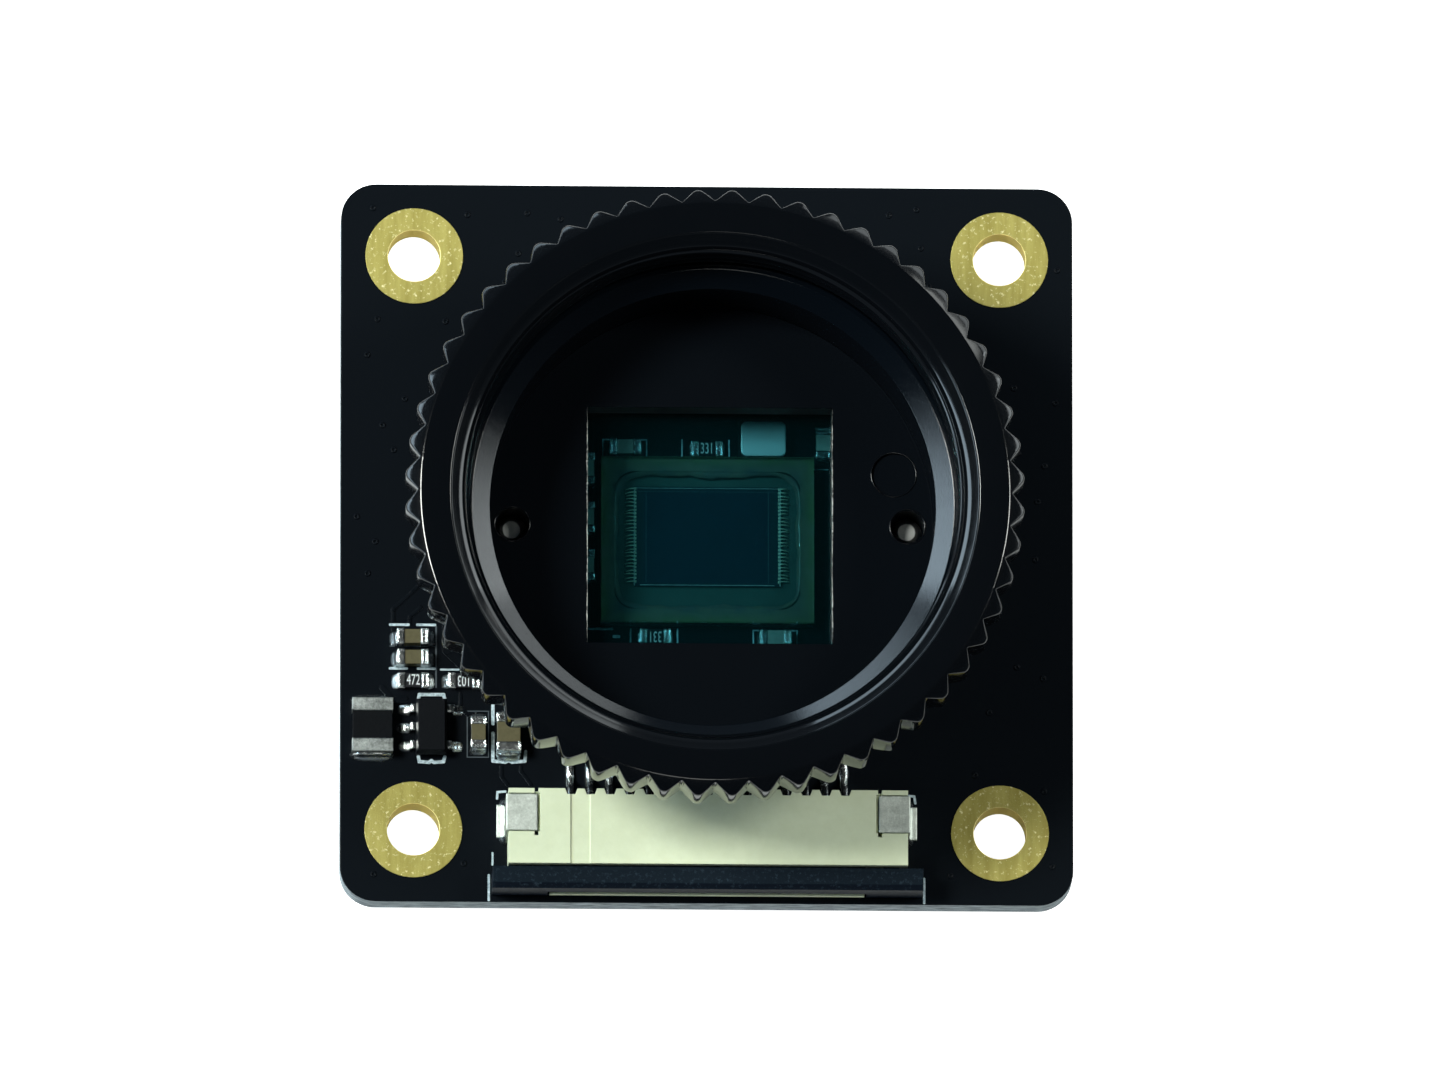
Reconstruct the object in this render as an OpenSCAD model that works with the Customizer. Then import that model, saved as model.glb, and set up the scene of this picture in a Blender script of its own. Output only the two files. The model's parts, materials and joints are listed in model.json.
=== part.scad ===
// Board camera with a knurled lens mount: a square circuit board carries an image sensor
// under a moulded mount base, a back-focus ring for screw-in lenses, a ribbon-cable
// connector with a pull-out slider, and a small power supply in one corner.
// Millimetres. Origin: centre of the board's underside, +Z along the optical axis,
// the ribbon connector on the -Y side.

/* [Circuit board] */
// Side of the square board
board_side = 37.5; // [37.5:0.5:50]
// Thickness of the board
board_t = 1.6; // [1:0.1:2.4]
// Radius of the board's corners
board_corner_r = 1.8; // [0.5:0.1:3]
// Distance of each mounting hole from the two board edges beside it
hole_inset = 3.75; // [3:0.05:4.5]
// Diameter of the plated mounting holes
hole_d = 2.7; // [2:0.1:3.4]
// Diameter of the gold pads round the mounting holes
pad_d = 5; // [4.4:0.1:5.6]
// Thickness of the plating
plating_t = 0.05; // [0.03:0.01:0.1]

/* [Mount base] */
// Side of the square window over the sensor, along X
window_w = 12.5; // [10:0.1:12.8]
// Side of the window along Y
window_d = 12.3; // [10:0.1:12.8]
// Height of the matt floor above the board
floor_h = 4.7; // [3.9:0.1:6]
// Thickness of the floor over the filter
floor_t = 1.5; // [1:0.1:1.8]
// Wall left outside the corners of the sensor chamber
skirt_wall = 1.45; // [1:0.05:1.8]
// Depth of the base's rim below the lens seat
rim_depth = 3.4; // [2.6:0.1:4.2]
// Wall of the base's threaded tube
tube_wall = 1.275; // [1:0.025:1.6]
// Distance of each fixing screw from the optical axis
screw_x = 10.1; // [9.8:0.1:10.4]

/* [Focus ring] */
// Major diameter of the lens thread
thread_d = 25.4; // [23:0.1:32]
// Height of the lens seat above the board
seat_h = 13.2; // [11.5:0.1:17]
// Height of the whole focus ring
ring_h = 7; // [5.5:0.1:7.4]
// Height of the knurled band
knurl_h = 2.7; // [2:0.1:3.6]
// Number of knurls
knurls = 56; // [40:1:72]
// Depth of the knurling
knurl_depth = 0.66; // [0.4:0.01:0.9]
// Distance from the thread's major radius out to the knurl crests
ring_wall = 3.1; // [2.6:0.1:4]

/* [Image sensor] */
// Length of the sensor package along X
sensor_w = 10.9; // [9:0.1:11.5]
// Length of the sensor package along Y
sensor_d = 8.6; // [7:0.1:8.8]
// Length of the silicon die along X
die_w = 7.5; // [5:0.1:7.8]
// Length of the silicon die along Y
die_d = 5.2; // [3.6:0.1:5.6]
// Thickness of the infrared filter
filter_t = 0.7; // [0.3:0.1:0.9]

/* [Ribbon connector] */
// Number of contacts
contacts = 15; // [8:1:20]
// Spacing of the contacts
contact_pitch = 1; // [0.8:0.1:1.2]
// Height of the ivory housing
housing_h = 2.5; // [2.3:0.1:3.2]
// Length of the housing from back to front
housing_d = 3.9; // [3.6:0.1:4.6]
// Length of the slider's bar from back to front
slider_d = 1.15; // [0.8:0.05:1.5]
// Distance from the slider's front to the board's edge
slider_inset = 0.35; // [0:0.05:1]

/* [Screws] */
// Diameter of the screw shank
shank_d = 1.6; // [1.4:0.1:1.7]
// Diameter of the screw head
head_d = 3.2; // [2.8:0.1:3.6]
// Height of the screw head
head_h = 1.1; // [0.8:0.1:1.4]

/* [Hidden] */
$fn = 96;
eps = 0.01;               // how far a cutter passes a face
bore_fit = 0.07;          // radial clearance of the ring on the tube
slide_fit = 0.1;          // clearance round the slider's moving pieces
glue_fit = 0.05;          // clearance round the filter
drill_fit = 0.05;         // radial clearance of a screw in its hole
deck = board_t;           // the board's top face

// Mounting holes, from the board's size
hole_xy = board_side / 2 - hole_inset;
CORNERS = [[-1, -1], [1, -1], [1, 1], [-1, 1]];

// Mount base, all heights from the board's top face
filter_lap = 0.7;
filter_w = window_w + 2 * filter_lap;
filter_d = window_d + 2 * filter_lap;
chip_column_x = 6.15;      // chip capacitors beside the sensor
chamber_w = max(filter_w, 2 * (chip_column_x + 0.6)) + 0.6;
chamber_d = filter_d + 0.6;
chamber_corner_r = 1;
skirt_r = norm([chamber_w, chamber_d]) / 2 + skirt_wall;
filter_z = floor_h - floor_t - filter_t;
tube_r = thread_d / 2 - 0.05;
tube_in_r = tube_r - tube_wall;
rim_z = seat_h - rim_depth;
rim_flat = 0.35;
rim_drop = 0.6;
collar_z = floor_h - 1.3;
root_groove = 0.35;       // depth of the thread's root on the open part of the tube
mark_r = 1.15;            // ejector mark in the floor
mark_depth = 0.12;
mark_xy = [9.4, 2.7];
tip_drop = 1.4;           // screw tips below the floor
tip_r = shank_d / 2 - 0.2;

// Focus ring
bore_r = thread_d / 2;
ring_r = bore_r + ring_wall;
valley_r = ring_r - knurl_depth;
half_knurl = 180 / knurls;
crest_r = 0.3;            // round top of each knurl
crest_x = ring_r - crest_r;
valley_xy = valley_r * [cos(half_knurl), sin(half_knurl)];
// slope of a flank: the tangent from a valley to the crest's circle
flank_a = atan2(valley_xy[1], crest_x - valley_xy[0]) - asin(crest_r / norm(valley_xy - [crest_x, 0]));
ring_z = seat_h - ring_h;
relief = 0.3;             // depth of the groove between the lens thread and the base thread
relief_z = rim_z - 0.5;
lens_z = rim_z + 0.3;     // where the lens thread starts
seat_out_r = ring_r - 0.8;
seat_in_r = bore_r + 0.78;
lower_r = ring_r - 1.8;

// Image sensor
substrate_t = 0.5;
die_t = 0.2;
dam_t = 0.5;
cover_t = 0.4;
dam_wall = 0.7;
dam_corner_r = 1;
die_y = 0.25;

// Ribbon connector: Y positions run from the board's front edge
tongue_y = -board_side / 2 + slider_inset;
front_y = tongue_y + slider_d;
back_y = front_y + housing_d + 0.05;
row_w = (contacts - 1) * contact_pitch;
housing_w = row_w + 6.4;
slot_w = row_w + 2.3;
tongue_w = row_w + 2.1;
slider_w = housing_w + 1.6;
base_z = 0.1;             // housing stands clear of the solder
tongue_h = 0.35;
slot_z = 0.95;
slot_h = 1;
slot_depth = housing_d - 1;
flat_y = back_y + 2.3;    // front face of the base's skirt, clear of the contact tails
wedge_h = 0.5;
blade_t = 0.3;            // thickness of a contact
arm_w = 0.8;
arm_h = 0.8;
arm_x = housing_w / 2 - 1.2 + arm_w / 2;
arm_l = 2;
anchor_w = 1.6;
anchor_l = 1.9;
anchor_t = 0.2;
anchor_lip = 0.12;        // how far an anchor stands out of the housing's side
anchor_y = back_y - 0.3 - anchor_l;

// Fixing screws
hole_r = shank_d / 2 + drill_fit;

// Chip parts: place from the board's left and front edges, or from the optical axis
left = -board_side / 2;
front = -board_side / 2;
// Each chip is [x, y, length, width, height, turn]
CAPACITORS = [
    [left + 3.68, front + 13.7, 1.6, 0.8, 0.8, 0],
    [left + 3.7, front + 12.62, 1.6, 0.8, 0.8, 0],
    [left + 7.06, front + 8.72, 1.6, 0.8, 0.8, 90],
    [left + 8.6, front + 8.66, 2, 1.25, 1.2, 90],
    [-4.2, 4.95, 1.6, 0.8, 0.8, 0],
    [chip_column_x - 0.2, 5.2, 1.6, 0.8, 0.8, 90],
    [3.5, -4.98, 1.6, 0.8, 0.8, 0],
    [-chip_column_x, 3.8, 1.6, 0.8, 0.8, 90],
    [-chip_column_x, 1.25, 1.6, 0.8, 0.8, 90],
    [-chip_column_x, -1.25, 1.6, 0.8, 0.8, 90]
];
RESISTORS = [
    [left + 3.73, front + 11.47, 1.6, 0.8, 0.45, 0],
    [left + 6.32, front + 11.47, 1.6, 0.8, 0.45, 0],
    [0, 4.92, 1.6, 0.8, 0.45, 0],
    [-2.65, -4.9, 1.6, 0.8, 0.45, 180]
];
cap_t = 0.04;             // thickness of a chip's metal end cap
cap_share = 0.24;         // share of a chip's length under each end cap
inductor = [left + 1.64, front + 9.04, 2.8, 2.1, 1, 90];
regulator_xy = [left + 4.65, front + 9.03];
regulator_w = 1.6;
regulator_l = 2.9;
regulator_h = 1.1;
lead_pitch = 0.95;
LEADS = [[-1, -1], [-1, 0], [-1, 1], [1, -1], [1, 1]];
oscillator = [2.88, 5.38, 2.5, 2];

// ---- shared shapes ----

// Rectangle with round corners, centred
module round_rect(w, d, r) {
    square([w - 2 * r, d], center = true);
    square([w, d - 2 * r], center = true);
    for (c = CORNERS)
        translate([c[0] * (w / 2 - r), c[1] * (d / 2 - r)]) circle(r, $fn = 48);
}

// Box centred in X and Y that stands on z
module block(w, d, h, z = 0) {
    translate([-w / 2, -d / 2, z]) cube([w, d, h]);
}

// Moves a child from the origin to a chip's place on the board
module at_chip(chip) {
    translate([chip[0], chip[1], deck]) rotate(chip[5]) children();
}

// Ceramic core of a chip part, lying along X
module chip_body(chip) {
    block(chip[2] - 2 * cap_t, chip[3] - 2 * cap_t, chip[4] - 2 * cap_t, cap_t);
}

// Metal caps over both ends of a chip part
module chip_ends(chip) {
    cap_l = chip[2] * cap_share;
    for (side = [-1, 1])
        difference() {
            translate([side * (chip[2] - cap_l) / 2, 0]) block(cap_l, chip[3], chip[4]);
            chip_body(chip);
        }
}

// ---- circuit board ----

// Glass-fibre board with clearance for the plated holes and the two fixing screws
module circuit_board() color("#17191d") difference() {
    linear_extrude(board_t) round_rect(board_side, board_side, board_corner_r);
    for (c = CORNERS)
        translate([c[0] * hole_xy, c[1] * hole_xy, -eps])
            cylinder(r = hole_d / 2 + plating_t, h = board_t + 2 * eps);
    for (side = [-1, 1])
        translate([side * screw_x, 0, -eps]) cylinder(r = shank_d / 2 + 0.2, h = board_t + 2 * eps);
}

// Gold pad on both faces, joined by the plated wall of its hole
module mounting_pad(corner) color("#c9b45a")
    translate([corner[0] * hole_xy, corner[1] * hole_xy]) rotate_extrude()
        polygon([
            [hole_d / 2, -plating_t], [pad_d / 2, -plating_t], [pad_d / 2, 0],
            [hole_d / 2 + plating_t, 0], [hole_d / 2 + plating_t, board_t],
            [pad_d / 2, board_t], [pad_d / 2, board_t + plating_t],
            [hole_d / 2, board_t + plating_t]
        ]);

// ---- mount base ----

// Outer form of the base: round skirt, then the tube with its open thread root and rim
module base_blank() {
    difference() {
        cylinder(r = skirt_r, h = floor_h - 0.5);
        translate([-skirt_r, flat_y - skirt_r, -eps]) cube([2 * skirt_r, skirt_r, collar_z + eps]);
    }
    rotate_extrude() polygon([
        [0, collar_z], [tube_r, collar_z], [tube_r, collar_z + 0.6],
        [tube_r - root_groove, collar_z + 0.9], [tube_r - root_groove, ring_z + 0.2],
        [tube_r, ring_z + 0.5], [tube_r, rim_z - 0.1], [tube_r - 0.1, rim_z],
        [tube_r - rim_flat, rim_z], [tube_in_r, rim_z - rim_drop],
        [tube_in_r, floor_h], [0, floor_h]
    ]);
}
// Moulded base: sensor chamber, filter recess, window, screw holes, ejector mark
module mount_base() color("#202329") translate([0, 0, deck]) difference() {
    base_blank();
    translate([0, 0, -eps]) linear_extrude(filter_z + eps)
        round_rect(chamber_w, chamber_d, chamber_corner_r);
    block(filter_w + 2 * glue_fit, filter_d + 2 * glue_fit, filter_t + eps, filter_z - eps);
    block(window_w, window_d, floor_t + 1, floor_h - floor_t - eps);
    for (side = [-1, 1])
        translate([side * screw_x, 0, -eps]) cylinder(r = hole_r, h = floor_h + 1);
    translate([mark_xy[0], mark_xy[1], floor_h - mark_depth]) cylinder(r = mark_r, h = 1);
}

// Teal glass glued into its recess under the floor
module ir_filter() color("#3c7f80", 0.6)
    translate([0, 0, deck]) block(filter_w, filter_d, filter_t, filter_z);

// Pan head, shank and blunt tip of the two screws that come up through the board
module mount_screws() color("#b9bcc0") for (side = [-1, 1])
    translate([side * screw_x, 0]) difference() {
        rotate_extrude() polygon([
            [0, -head_h], [head_d / 2 - 0.45, -head_h], [head_d / 2, -head_h + 0.45],
            [head_d / 2, 0], [shank_d / 2, 0],
            [shank_d / 2, deck + floor_h - tip_drop - 0.5],
            [tip_r, deck + floor_h - tip_drop - 0.15],
            [tip_r - 0.15, deck + floor_h - tip_drop], [0, deck + floor_h - tip_drop]
        ]);
        for (turn = [0, 90]) rotate(turn) block(head_d * 0.55, 0.4, 0.6 + eps, -head_h - eps);
    }

// ---- focus ring ----

// Point turned about the origin
function turned(p, a) = [p[0] * cos(a) - p[1] * sin(a), p[0] * sin(a) + p[1] * cos(a)];

// Plan of the knurled band: straight flanks that rise from sharp valleys to round crests
module knurl_plan() polygon([
    for (i = [0 : knurls - 1], share = [-2 : 2])
        let (at = (i + 0.5) * 360 / knurls, a = share / 2 * (90 - flank_a))
        each concat(
            share == -2 ? [turned(valley_xy, at - 2 * half_knurl)] : [],
            [turned([crest_x + crest_r * cos(a), crest_r * sin(a)], at)]
        )
]);

// Knurled ring with a chamfered crest line and a countersunk thread
module focus_ring() color("#15171b") translate([0, 0, deck]) difference() {
    union() {
        intersection() {
            translate([0, 0, seat_h - knurl_h]) linear_extrude(knurl_h) knurl_plan();
            rotate_extrude() polygon([
                [0, seat_h - knurl_h - 1], [ring_r - 1.4, seat_h - knurl_h - 1],
                [ring_r + 0.1, seat_h - knurl_h + 0.4], [ring_r + 0.1, seat_h - 0.55],
                [seat_out_r, seat_h], [0, seat_h]
            ]);
        }
        rotate_extrude() polygon([
            [0, ring_z], [lower_r - 0.4, ring_z], [lower_r, ring_z + 0.4],
            [lower_r, seat_h - 1], [0, seat_h - 1]
        ]);
    }
    rotate_extrude() polygon([
        [0, ring_z - 1], [bore_r + 0.5, ring_z - 1], [bore_r + 0.5, ring_z],
        [tube_r + bore_fit, ring_z + 0.45], [tube_r + bore_fit, relief_z],
        [bore_r + relief, relief_z], [bore_r + relief, lens_z],
        [bore_r, lens_z], [bore_r, seat_h - 0.65], [bore_r + 0.2, seat_h - 0.3],
        [seat_in_r, seat_h], [seat_in_r, seat_h + 1], [0, seat_h + 1]
    ]);
}

// ---- image sensor ----

// Laminate that carries the die
module sensor_substrate() color("#2c5a4a")
    translate([0, 0, deck]) block(sensor_w, sensor_d, substrate_t);

// Silicon die, centred a little off the package
module sensor_die() color("#1c3c4c")
    translate([0, die_y, deck]) block(die_w, die_d, die_t, substrate_t);

// Rounded frame of adhesive that holds the cover glass over the die
module sensor_dam() color("#2f6f68") translate([0, 0, deck + substrate_t]) linear_extrude(dam_t)
    difference() {
        square([sensor_w, sensor_d], center = true);
        round_rect(sensor_w - 2 * dam_wall, sensor_d - 2 * dam_wall, dam_corner_r);
    }

// Cover glass of the sensor package
module sensor_cover_glass() color("#bfe0dc", 0.4)
    translate([0, 0, deck]) block(sensor_w, sensor_d, cover_t, substrate_t + dam_t);

// ---- ribbon connector ----

// X of each contact
function contact_x(i) = (i - (contacts - 1) / 2) * contact_pitch;

// Notch in the housing's back edge, wider outside, one for each contact
module back_notch() linear_extrude(housing_h + 1)
    polygon([[-0.32, eps], [-0.2, -0.3], [0.2, -0.3], [0.32, eps]]);

// Ivory housing with its tongue, ribbon slot, contact slots, arm slots and anchor steps
module connector_housing() color("#e4e6d2") translate([0, 0, deck]) difference() {
    union() {
        translate([-housing_w / 2, front_y + 0.05, base_z])
            cube([housing_w, housing_d, housing_h - base_z]);
        translate([-tongue_w / 2, tongue_y, base_z])
            cube([tongue_w, slider_d + 1, tongue_h]);
    }
    translate([-slot_w / 2, front_y - 1, slot_z]) cube([slot_w, slot_depth + 1, slot_h]);
    for (i = [0 : contacts - 1])
        translate([contact_x(i), back_y, 0]) {
            translate([0, 0, -eps]) back_notch();
            translate([-blade_t / 2 - 0.05, -housing_d + 0.5, base_z + 0.3])
                cube([blade_t + 0.1, housing_d, 1.75]);
        }
    for (side = [-1, 1]) {
        translate([side * arm_x - arm_w / 2 - slide_fit, front_y - 1, slot_z - slide_fit])
            cube([arm_w + 2 * slide_fit, arm_l + 1 + 2 * slide_fit, arm_h + 2 * slide_fit]);
        translate([side * (housing_w / 2 - anchor_w / 2), anchor_y + anchor_l / 2, housing_h - anchor_t])
            block(anchor_w + 0.05, anchor_l + 0.1, 1);
        translate([side * (housing_w / 2 - anchor_w + anchor_lip + 0.05), back_y - 1.2, housing_h - 0.9])
            block(0.2, 2.5, 1);
    }
    // shallow step that marks the first contact
    translate([contact_x(0) - 0.03, front_y - 1, housing_h - 0.06]) cube([contact_pitch, housing_d + 2, 1]);
}

// Black slider: bar with ears, wedge plate that presses on the ribbon, two guide arms
module connector_slider() color("#22262c") translate([0, 0, deck]) {
    difference() {
        translate([-slider_w / 2, tongue_y, base_z]) cube([slider_w, slider_d - 0.05, housing_h - 0.4]);
        translate([-slot_w / 2, tongue_y - 1, 0]) cube([slot_w, slider_d + 2, slot_z]);
        translate([0, tongue_y, housing_h - 0.3]) rotate([45, 0, 0])
            block(slider_w + 1, 0.35, 0.35, -0.175);
    }
    translate([-slot_w / 2 + slide_fit, front_y - 0.2, slot_z + slot_h - wedge_h - 0.05])
        cube([slot_w - 2 * slide_fit, slot_depth - 0.2, wedge_h]);
    for (side = [-1, 1])
        translate([side * arm_x - arm_w / 2, front_y - 0.2, slot_z])
            cube([arm_w, arm_l, arm_h]);
}

// Stamped contacts: solder tail, back spine and the sprung beam that meets the ribbon
module connector_contacts() color("#c4c6c8") for (i = [0 : contacts - 1])
    translate([contact_x(i) + blade_t / 2, back_y, deck]) rotate([0, -90, 0])
        linear_extrude(blade_t) polygon([
            [0, 1.85], [0.2, 1.85], [0.25, 0.95], [1.5, 0.4], [1.7, 0.15], [1.9, -0.2],
            [1.9, -0.75], [0.85, -0.75], [0.6, -1.2], [0.6, -2.2], [0.95, -2.9], [0.6, -3.35],
            [0.42, -3.35], [0.42, 0.1], [0, 0.3]
        ]);

// Folded clips that solder the housing's ends to the board
module connector_anchors() color("#aeb2b5") for (side = [-1, 1])
    translate([side * housing_w / 2, anchor_y, deck]) mirror([side > 0 ? 1 : 0, 0, 0]) {
        translate([-anchor_lip, 0, housing_h - anchor_t]) cube([anchor_w, anchor_l, anchor_t]);
        translate([-anchor_lip, 0, 0]) cube([0.1, anchor_l, housing_h - anchor_t]);
        translate([-0.55, 0.1, 0]) cube([0.5, anchor_l - 0.2, 0.12]);
        translate([anchor_w - anchor_lip - 0.1, 0, housing_h - 0.8]) cube([0.1, anchor_l, 0.7]);
    }

// ---- power supply ----

// Moulded regulator body with draft on all four sides
module regulator_body() color("#1a1c1f")
    translate([regulator_xy[0], regulator_xy[1], deck]) intersection() {
        draft_bar(regulator_w, regulator_l);
        rotate(90) draft_bar(regulator_l, regulator_w);
    }

// Bar along Y whose sides lean in above and below the lead line
module draft_bar(w, l) translate([0, l, 0]) rotate([90, 0, 0]) linear_extrude(2 * l)
    polygon([
        [-w / 2 + 0.08, 0.08], [w / 2 - 0.08, 0.08], [w / 2, 0.55],
        [w / 2 - 0.12, regulator_h], [-w / 2 + 0.12, regulator_h], [-w / 2, 0.55]
    ]);

// Gull-wing leads
module regulator_leads() color("#c4c6c8") for (lead = LEADS)
    translate([regulator_xy[0], regulator_xy[1] + lead[1] * lead_pitch, deck])
        mirror([lead[0] < 0 ? 1 : 0, 0, 0]) translate([regulator_w / 2 - 0.05, 0.2, 0])
            rotate([90, 0, 0]) linear_extrude(0.4) polygon([
                [0.05, 0.47], [0.2, 0.47], [0.32, 0], [0.65, 0], [0.65, 0.14],
                [0.43, 0.14], [0.3, 0.62], [0.062, 0.62]
            ]);

// Ferrite block of the power inductor
module inductor_body() color("#232528") at_chip(inductor) chip_body(inductor);

// Silvered ends of the inductor
module inductor_ends() color("#b9bcc0") at_chip(inductor) chip_ends(inductor);

// Ceramic tray of the clock oscillator
module oscillator_base() color("#3a3d42")
    translate([oscillator[0], oscillator[1], deck]) block(oscillator[2], oscillator[3], 0.55);

// Welded metal lid of the oscillator
module oscillator_lid() color("#c9ccd0")
    translate([oscillator[0], oscillator[1], deck + 0.55]) linear_extrude(0.25)
        round_rect(oscillator[2] - 0.2, oscillator[3] - 0.2, 0.3);

// ---- assembly ----

circuit_board();
mount_base();
focus_ring();
mount_screws();
ir_filter();
sensor_substrate();
sensor_die();
sensor_dam();
sensor_cover_glass();
connector_housing();
connector_slider();
connector_contacts();
connector_anchors();
regulator_body();
regulator_leads();
inductor_body();
inductor_ends();
oscillator_base();
oscillator_lid();
for (i = [1 : len(CORNERS)])
    mounting_pad(CORNERS[i - 1]);
for (i = [1 : len(CAPACITORS)]) {
    color("#8f7a52") at_chip(CAPACITORS[i - 1]) chip_body(CAPACITORS[i - 1]);
    color("#c8cacc") at_chip(CAPACITORS[i - 1]) chip_ends(CAPACITORS[i - 1]);
}
for (i = [1 : len(RESISTORS)]) {
    color("#1d1f22") at_chip(RESISTORS[i - 1]) chip_body(RESISTORS[i - 1]);
    color("#c8cacc") at_chip(RESISTORS[i - 1]) chip_ends(RESISTORS[i - 1]);
}
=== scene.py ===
# %% [markdown]
# # A board camera with a knurled lens mount
# The construction of this little camera already exists as exact parts: the circuit board, the
# moulded base over the sensor, the ring that carries the lens thread, the ribbon connector and
# the chips. They are loaded as a fixed frame. This lesson gives them their looks: it makes the
# surfaces that the exact parts leave plain (the knurled ring, both screw threads, solder, bond
# wires, printed lines) and the material of every piece, then sets the floor, lights and camera.

# %% Load the frame
import json
import math

import bpy
import numpy as np
from mathutils import Matrix, Vector


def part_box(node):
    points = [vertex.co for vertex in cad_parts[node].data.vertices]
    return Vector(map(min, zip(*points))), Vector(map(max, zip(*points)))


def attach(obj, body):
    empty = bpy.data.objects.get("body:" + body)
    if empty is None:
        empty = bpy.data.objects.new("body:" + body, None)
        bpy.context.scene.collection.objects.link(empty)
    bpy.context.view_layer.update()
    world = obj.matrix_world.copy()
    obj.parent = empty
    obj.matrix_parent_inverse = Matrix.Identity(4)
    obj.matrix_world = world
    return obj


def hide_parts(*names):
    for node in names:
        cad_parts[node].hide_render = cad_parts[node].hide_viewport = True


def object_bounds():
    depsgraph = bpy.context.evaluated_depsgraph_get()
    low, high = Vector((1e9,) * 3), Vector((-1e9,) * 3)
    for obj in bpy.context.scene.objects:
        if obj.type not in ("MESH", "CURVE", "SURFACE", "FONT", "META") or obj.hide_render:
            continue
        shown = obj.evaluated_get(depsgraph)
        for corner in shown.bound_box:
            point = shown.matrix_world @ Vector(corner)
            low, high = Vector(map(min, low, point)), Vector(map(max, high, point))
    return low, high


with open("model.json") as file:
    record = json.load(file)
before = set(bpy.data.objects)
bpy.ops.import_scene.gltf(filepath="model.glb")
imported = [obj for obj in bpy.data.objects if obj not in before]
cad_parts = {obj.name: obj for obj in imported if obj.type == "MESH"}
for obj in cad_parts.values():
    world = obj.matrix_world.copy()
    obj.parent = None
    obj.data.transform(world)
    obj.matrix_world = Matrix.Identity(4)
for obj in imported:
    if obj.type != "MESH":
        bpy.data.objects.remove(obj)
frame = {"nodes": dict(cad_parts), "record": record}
nodes = frame["nodes"]
record = frame["record"]
cad_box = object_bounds()
MM = 0.001

# %% [markdown]
# ## Reading sizes from the frame
# Every new surface has to sit on the exact parts, so its sizes are read from their boxes and not
# typed in twice. All lengths below are in millimetres, and become metres when a mesh is made.


# %% Sizes that the frame gives
def span(node):
    """Lowest and highest corner of a node's box, in millimetres."""
    low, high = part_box(node)
    return np.array(low) / MM, np.array(high) / MM


ring_low, ring_high = span("focus_ring")
die_low, die_high = span("sensor_die")
mounts = {m["name"]: m for m in record["mounts"]}
deck = span("circuit_board")[1][2]                     # top face of the board
rim = span("mount_base")[1][2]                         # top of the base's tube
seat = ring_high[2]                                    # lens seat on the ring
ring_r = (ring_high[0] - ring_low[0]) / 2              # over the knurl crests
thread_r = mounts["lens_thread"]["dims"]["r_mm"]       # major radius of the lens thread
hole_r = mounts["board_holes"]["dims"]["hole_r_mm"]
hole_xy = mounts["board_holes"]["dims"]["spacing_x_mm"] / 2
floor_top = span("ir_filter")[1][2] + 1.5              # floor of the base, over the filter
print(f"deck {deck:.2f}, rim {rim:.2f}, seat {seat:.2f}, ring radius {ring_r:.2f} mm")

# %% [markdown]
# ## Making surfaces from arrays
# A surface is a grid of points worked out in one go with numpy. The grid is closed along a
# direction by wrapping its last row round to the first. The same two helpers make every piece.


# %% Grid and mesh helpers
def make_piece(name, points, faces, body, slot, material, smooth=True):
    """Turns millimetre points and faces into a mesh object that rides on a body."""
    mesh = bpy.data.meshes.new(name)
    mesh.from_pydata((np.asarray(points) * MM).tolist(), [], np.asarray(faces).tolist())
    mesh.update()
    mesh.polygons.foreach_set("use_smooth", np.full(len(mesh.polygons), smooth))
    piece = bpy.data.objects.new(name, mesh)
    bpy.context.scene.collection.objects.link(piece)
    mesh.materials.append(material)
    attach(piece, body)
    return piece


def grid_faces(rows, columns, wrap_rows=False, wrap_columns=False, start=0):
    """Quads of a rows x columns grid of points, wrapped where asked, as an array of indices."""
    i = np.arange(rows if wrap_rows else rows - 1)
    j = np.arange(columns if wrap_columns else columns - 1)
    i, j = (a.ravel() for a in np.meshgrid(i, j, indexing="ij"))
    i2, j2 = (i + 1) % rows, (j + 1) % columns
    corners = (i * columns + j, i2 * columns + j, i2 * columns + j2, i * columns + j2)
    return start + np.stack(corners, 1)


# %% [markdown]
# ## Materials
# Every finish is a small node tree. Colours are written as they should look, and fine structure
# comes from noise in object coordinates, so it stays put when a piece moves. A bevel node rounds
# the shading of the sharp machine-made edges, as the small radius on a real moulding does. The
# short names below save writing the same few nodes for every finish.


# %% Material helpers
def new_material(name, color, roughness, metallic=0.0, **sockets):
    """Principled material; extra sockets are given by their names with underscores."""
    material = bpy.data.materials.new(name)
    material.use_nodes = True
    shader = material.node_tree.nodes["Principled BSDF"]
    shader.inputs["Base Color"].default_value = (*color, 1)
    shader.inputs["Roughness"].default_value = roughness
    shader.inputs["Metallic"].default_value = metallic
    for key, value in sockets.items():
        shader.inputs[key.replace("_", " ")].default_value = value
    return material


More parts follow.
